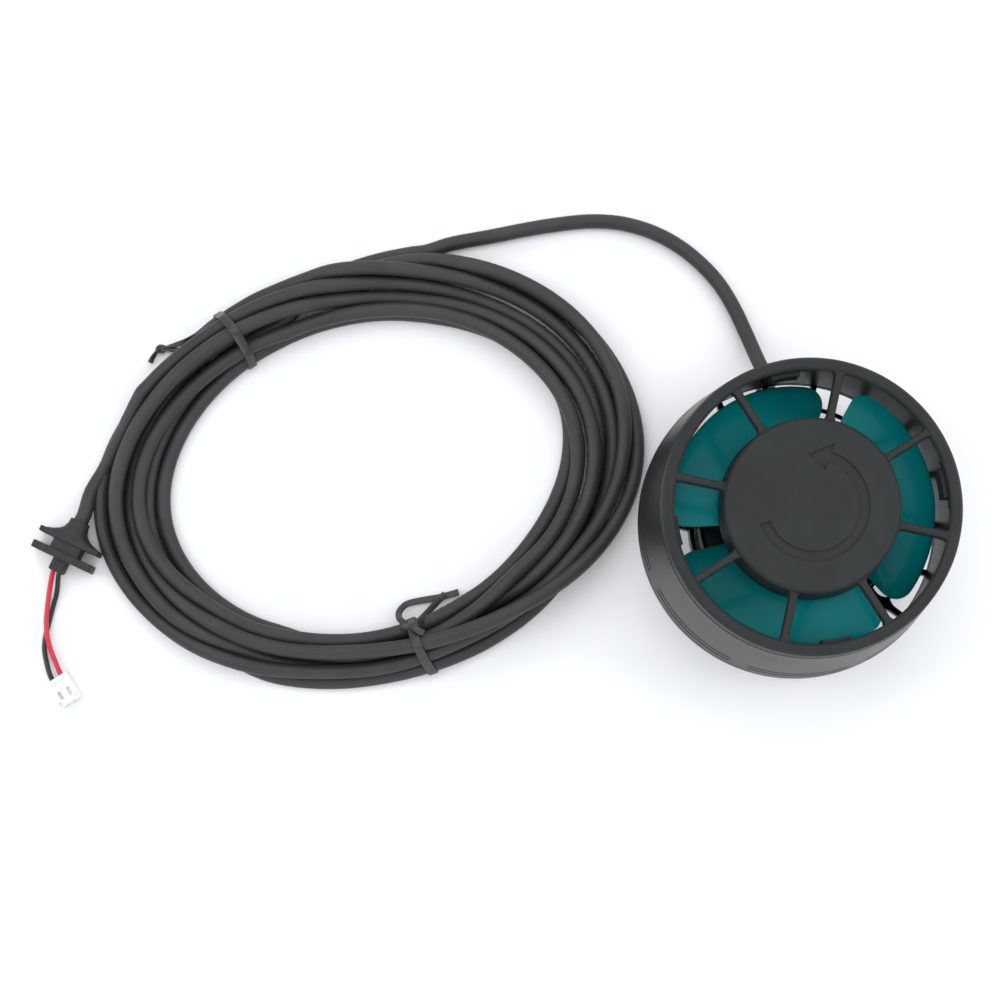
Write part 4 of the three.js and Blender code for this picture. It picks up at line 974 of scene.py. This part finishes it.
def blade():
    """One propeller blade: a sheet that climbs along its arc, with round corners and soft edges."""
    across_count, along_count = 48, 26
    sheets = []
    for side in (1, -1):
        sheet = []
        for row in range(along_count + 1):
            along = math.sin(0.5 * math.pi * row / along_count) ** 1.2
            radius = ROOT_RADIUS + (TIP_RADIUS - ROOT_RADIUS) * along
            line = []
            for column in range(across_count + 1):
                across = math.sin(math.pi * (column / across_count - 0.5))
                start, narrowing = (0.66, 0.2) if across < 0 else (0.8, 0.12)
                past = max(0, (along - start) / (1 - start))
                outline = 1 - narrowing * (1 - math.sqrt(max(0, 1 - past * past)))
                angle = across * BLADE_HALF_ARC * outline - BLADE_SWEEP * along
                edge = math.sqrt(max(0, 1 - abs(across) ** 12)) * math.sqrt(max(0, 1 - along ** 16))
                root_swell = 1 + 0.8 * math.exp(-along / 0.06)
                thick = BLADE_THICKNESS * (1 - 0.55 * abs(across) ** 3) * edge * root_swell
                cupping = BLADE_CUPPING * (1 - across * across) * (1 - 0.5 * along)
                climb = BLADE_CLIMB * across + cupping
                z = BLADE_MIDDLE_Z + climb + 0.5 * side * thick
                line.append((radius * math.cos(angle), radius * math.sin(angle), z))
            sheet.append(line)
        sheets.append(sheet)
    vertices = np.array(sheets).reshape(-1, 3)
    width, size = across_count + 1, (across_count + 1) * (along_count + 1)
    faces = []
    for row in range(along_count):
        for column in range(across_count):
            a = row * width + column
            faces.append((a, a + 1, a + width + 1, a + width))
            faces.append((size + a + width, size + a + width + 1, size + a + 1, size + a))
    for column in range(across_count):
        faces.append((column + 1, column, size + column, size + column + 1))
    return vertices, faces


def propeller():
    """Hub, stem and three blades in one moulding."""
    profile = rounded([(1.9, 19.2, 0.2), (3.2, 19.2, 0.2), (3.2, 33.3, 0.6), (16.5, 33.3, 0.5), (16.8, 46, 2),
                       (15.2, 49.5, 1.6), (6, 49.5, 0.4), (5.4, 49.0, 0.3), (1.9, 49.0, 0.2)])
    made = to_object("impeller", turned(profile, 144))
    combine(made, [("UNION", turn(blade(), math.radians(angle))) for angle in BLADE_ANGLES])
    return finish_piece(made, "rotor", "teal_plastic", ["propeller"], 40)


def dress_cad_nodes():
    """Every CAD node that stays in view gets its slot's material."""
    slots = {part["node"]: part["material_slot"] for part in frame["record"]["subparts"]}
    for name, node in frame["nodes"].items():
        node.data.materials.clear()
        node.data.materials.append(MATERIALS[slots[name]])


def add_floor():
    look = Look("floor", (0.93, 0.935, 0.94), 0.7)
    look.colours(look.noise(0.002, 2), (0.92, 0.925, 0.93), (0.94, 0.945, 0.95))
    floor = to_object("floor", (np.array([(-3000, -3000, -0.05), (3000, -3000, -0.05), (3000, 3000, -0.05),
                                          (-3000, 3000, -0.05)]), [(0, 1, 2, 3)]))
    floor.data.materials.append(look.material)


add_camera()
MATERIALS = make_materials()
route = cable_route()
cable = cord_curve("cable", route, CABLE_RADIUS, "cable_jacket", ["cable_lead", "cable_coil", "cable_tail"])
cable_pieces = [strain_relief(), grommet(), plug(), *wires(), *wire_ties(route),
                frame["nodes"]["contact_1"], frame["nodes"]["contact_2"]]
add_studio()
add_floor()
front_guard()
shroud()
rear_cage()
motor_can()
back_cover()
seal_and_pad()
propeller()
dress_cad_nodes()
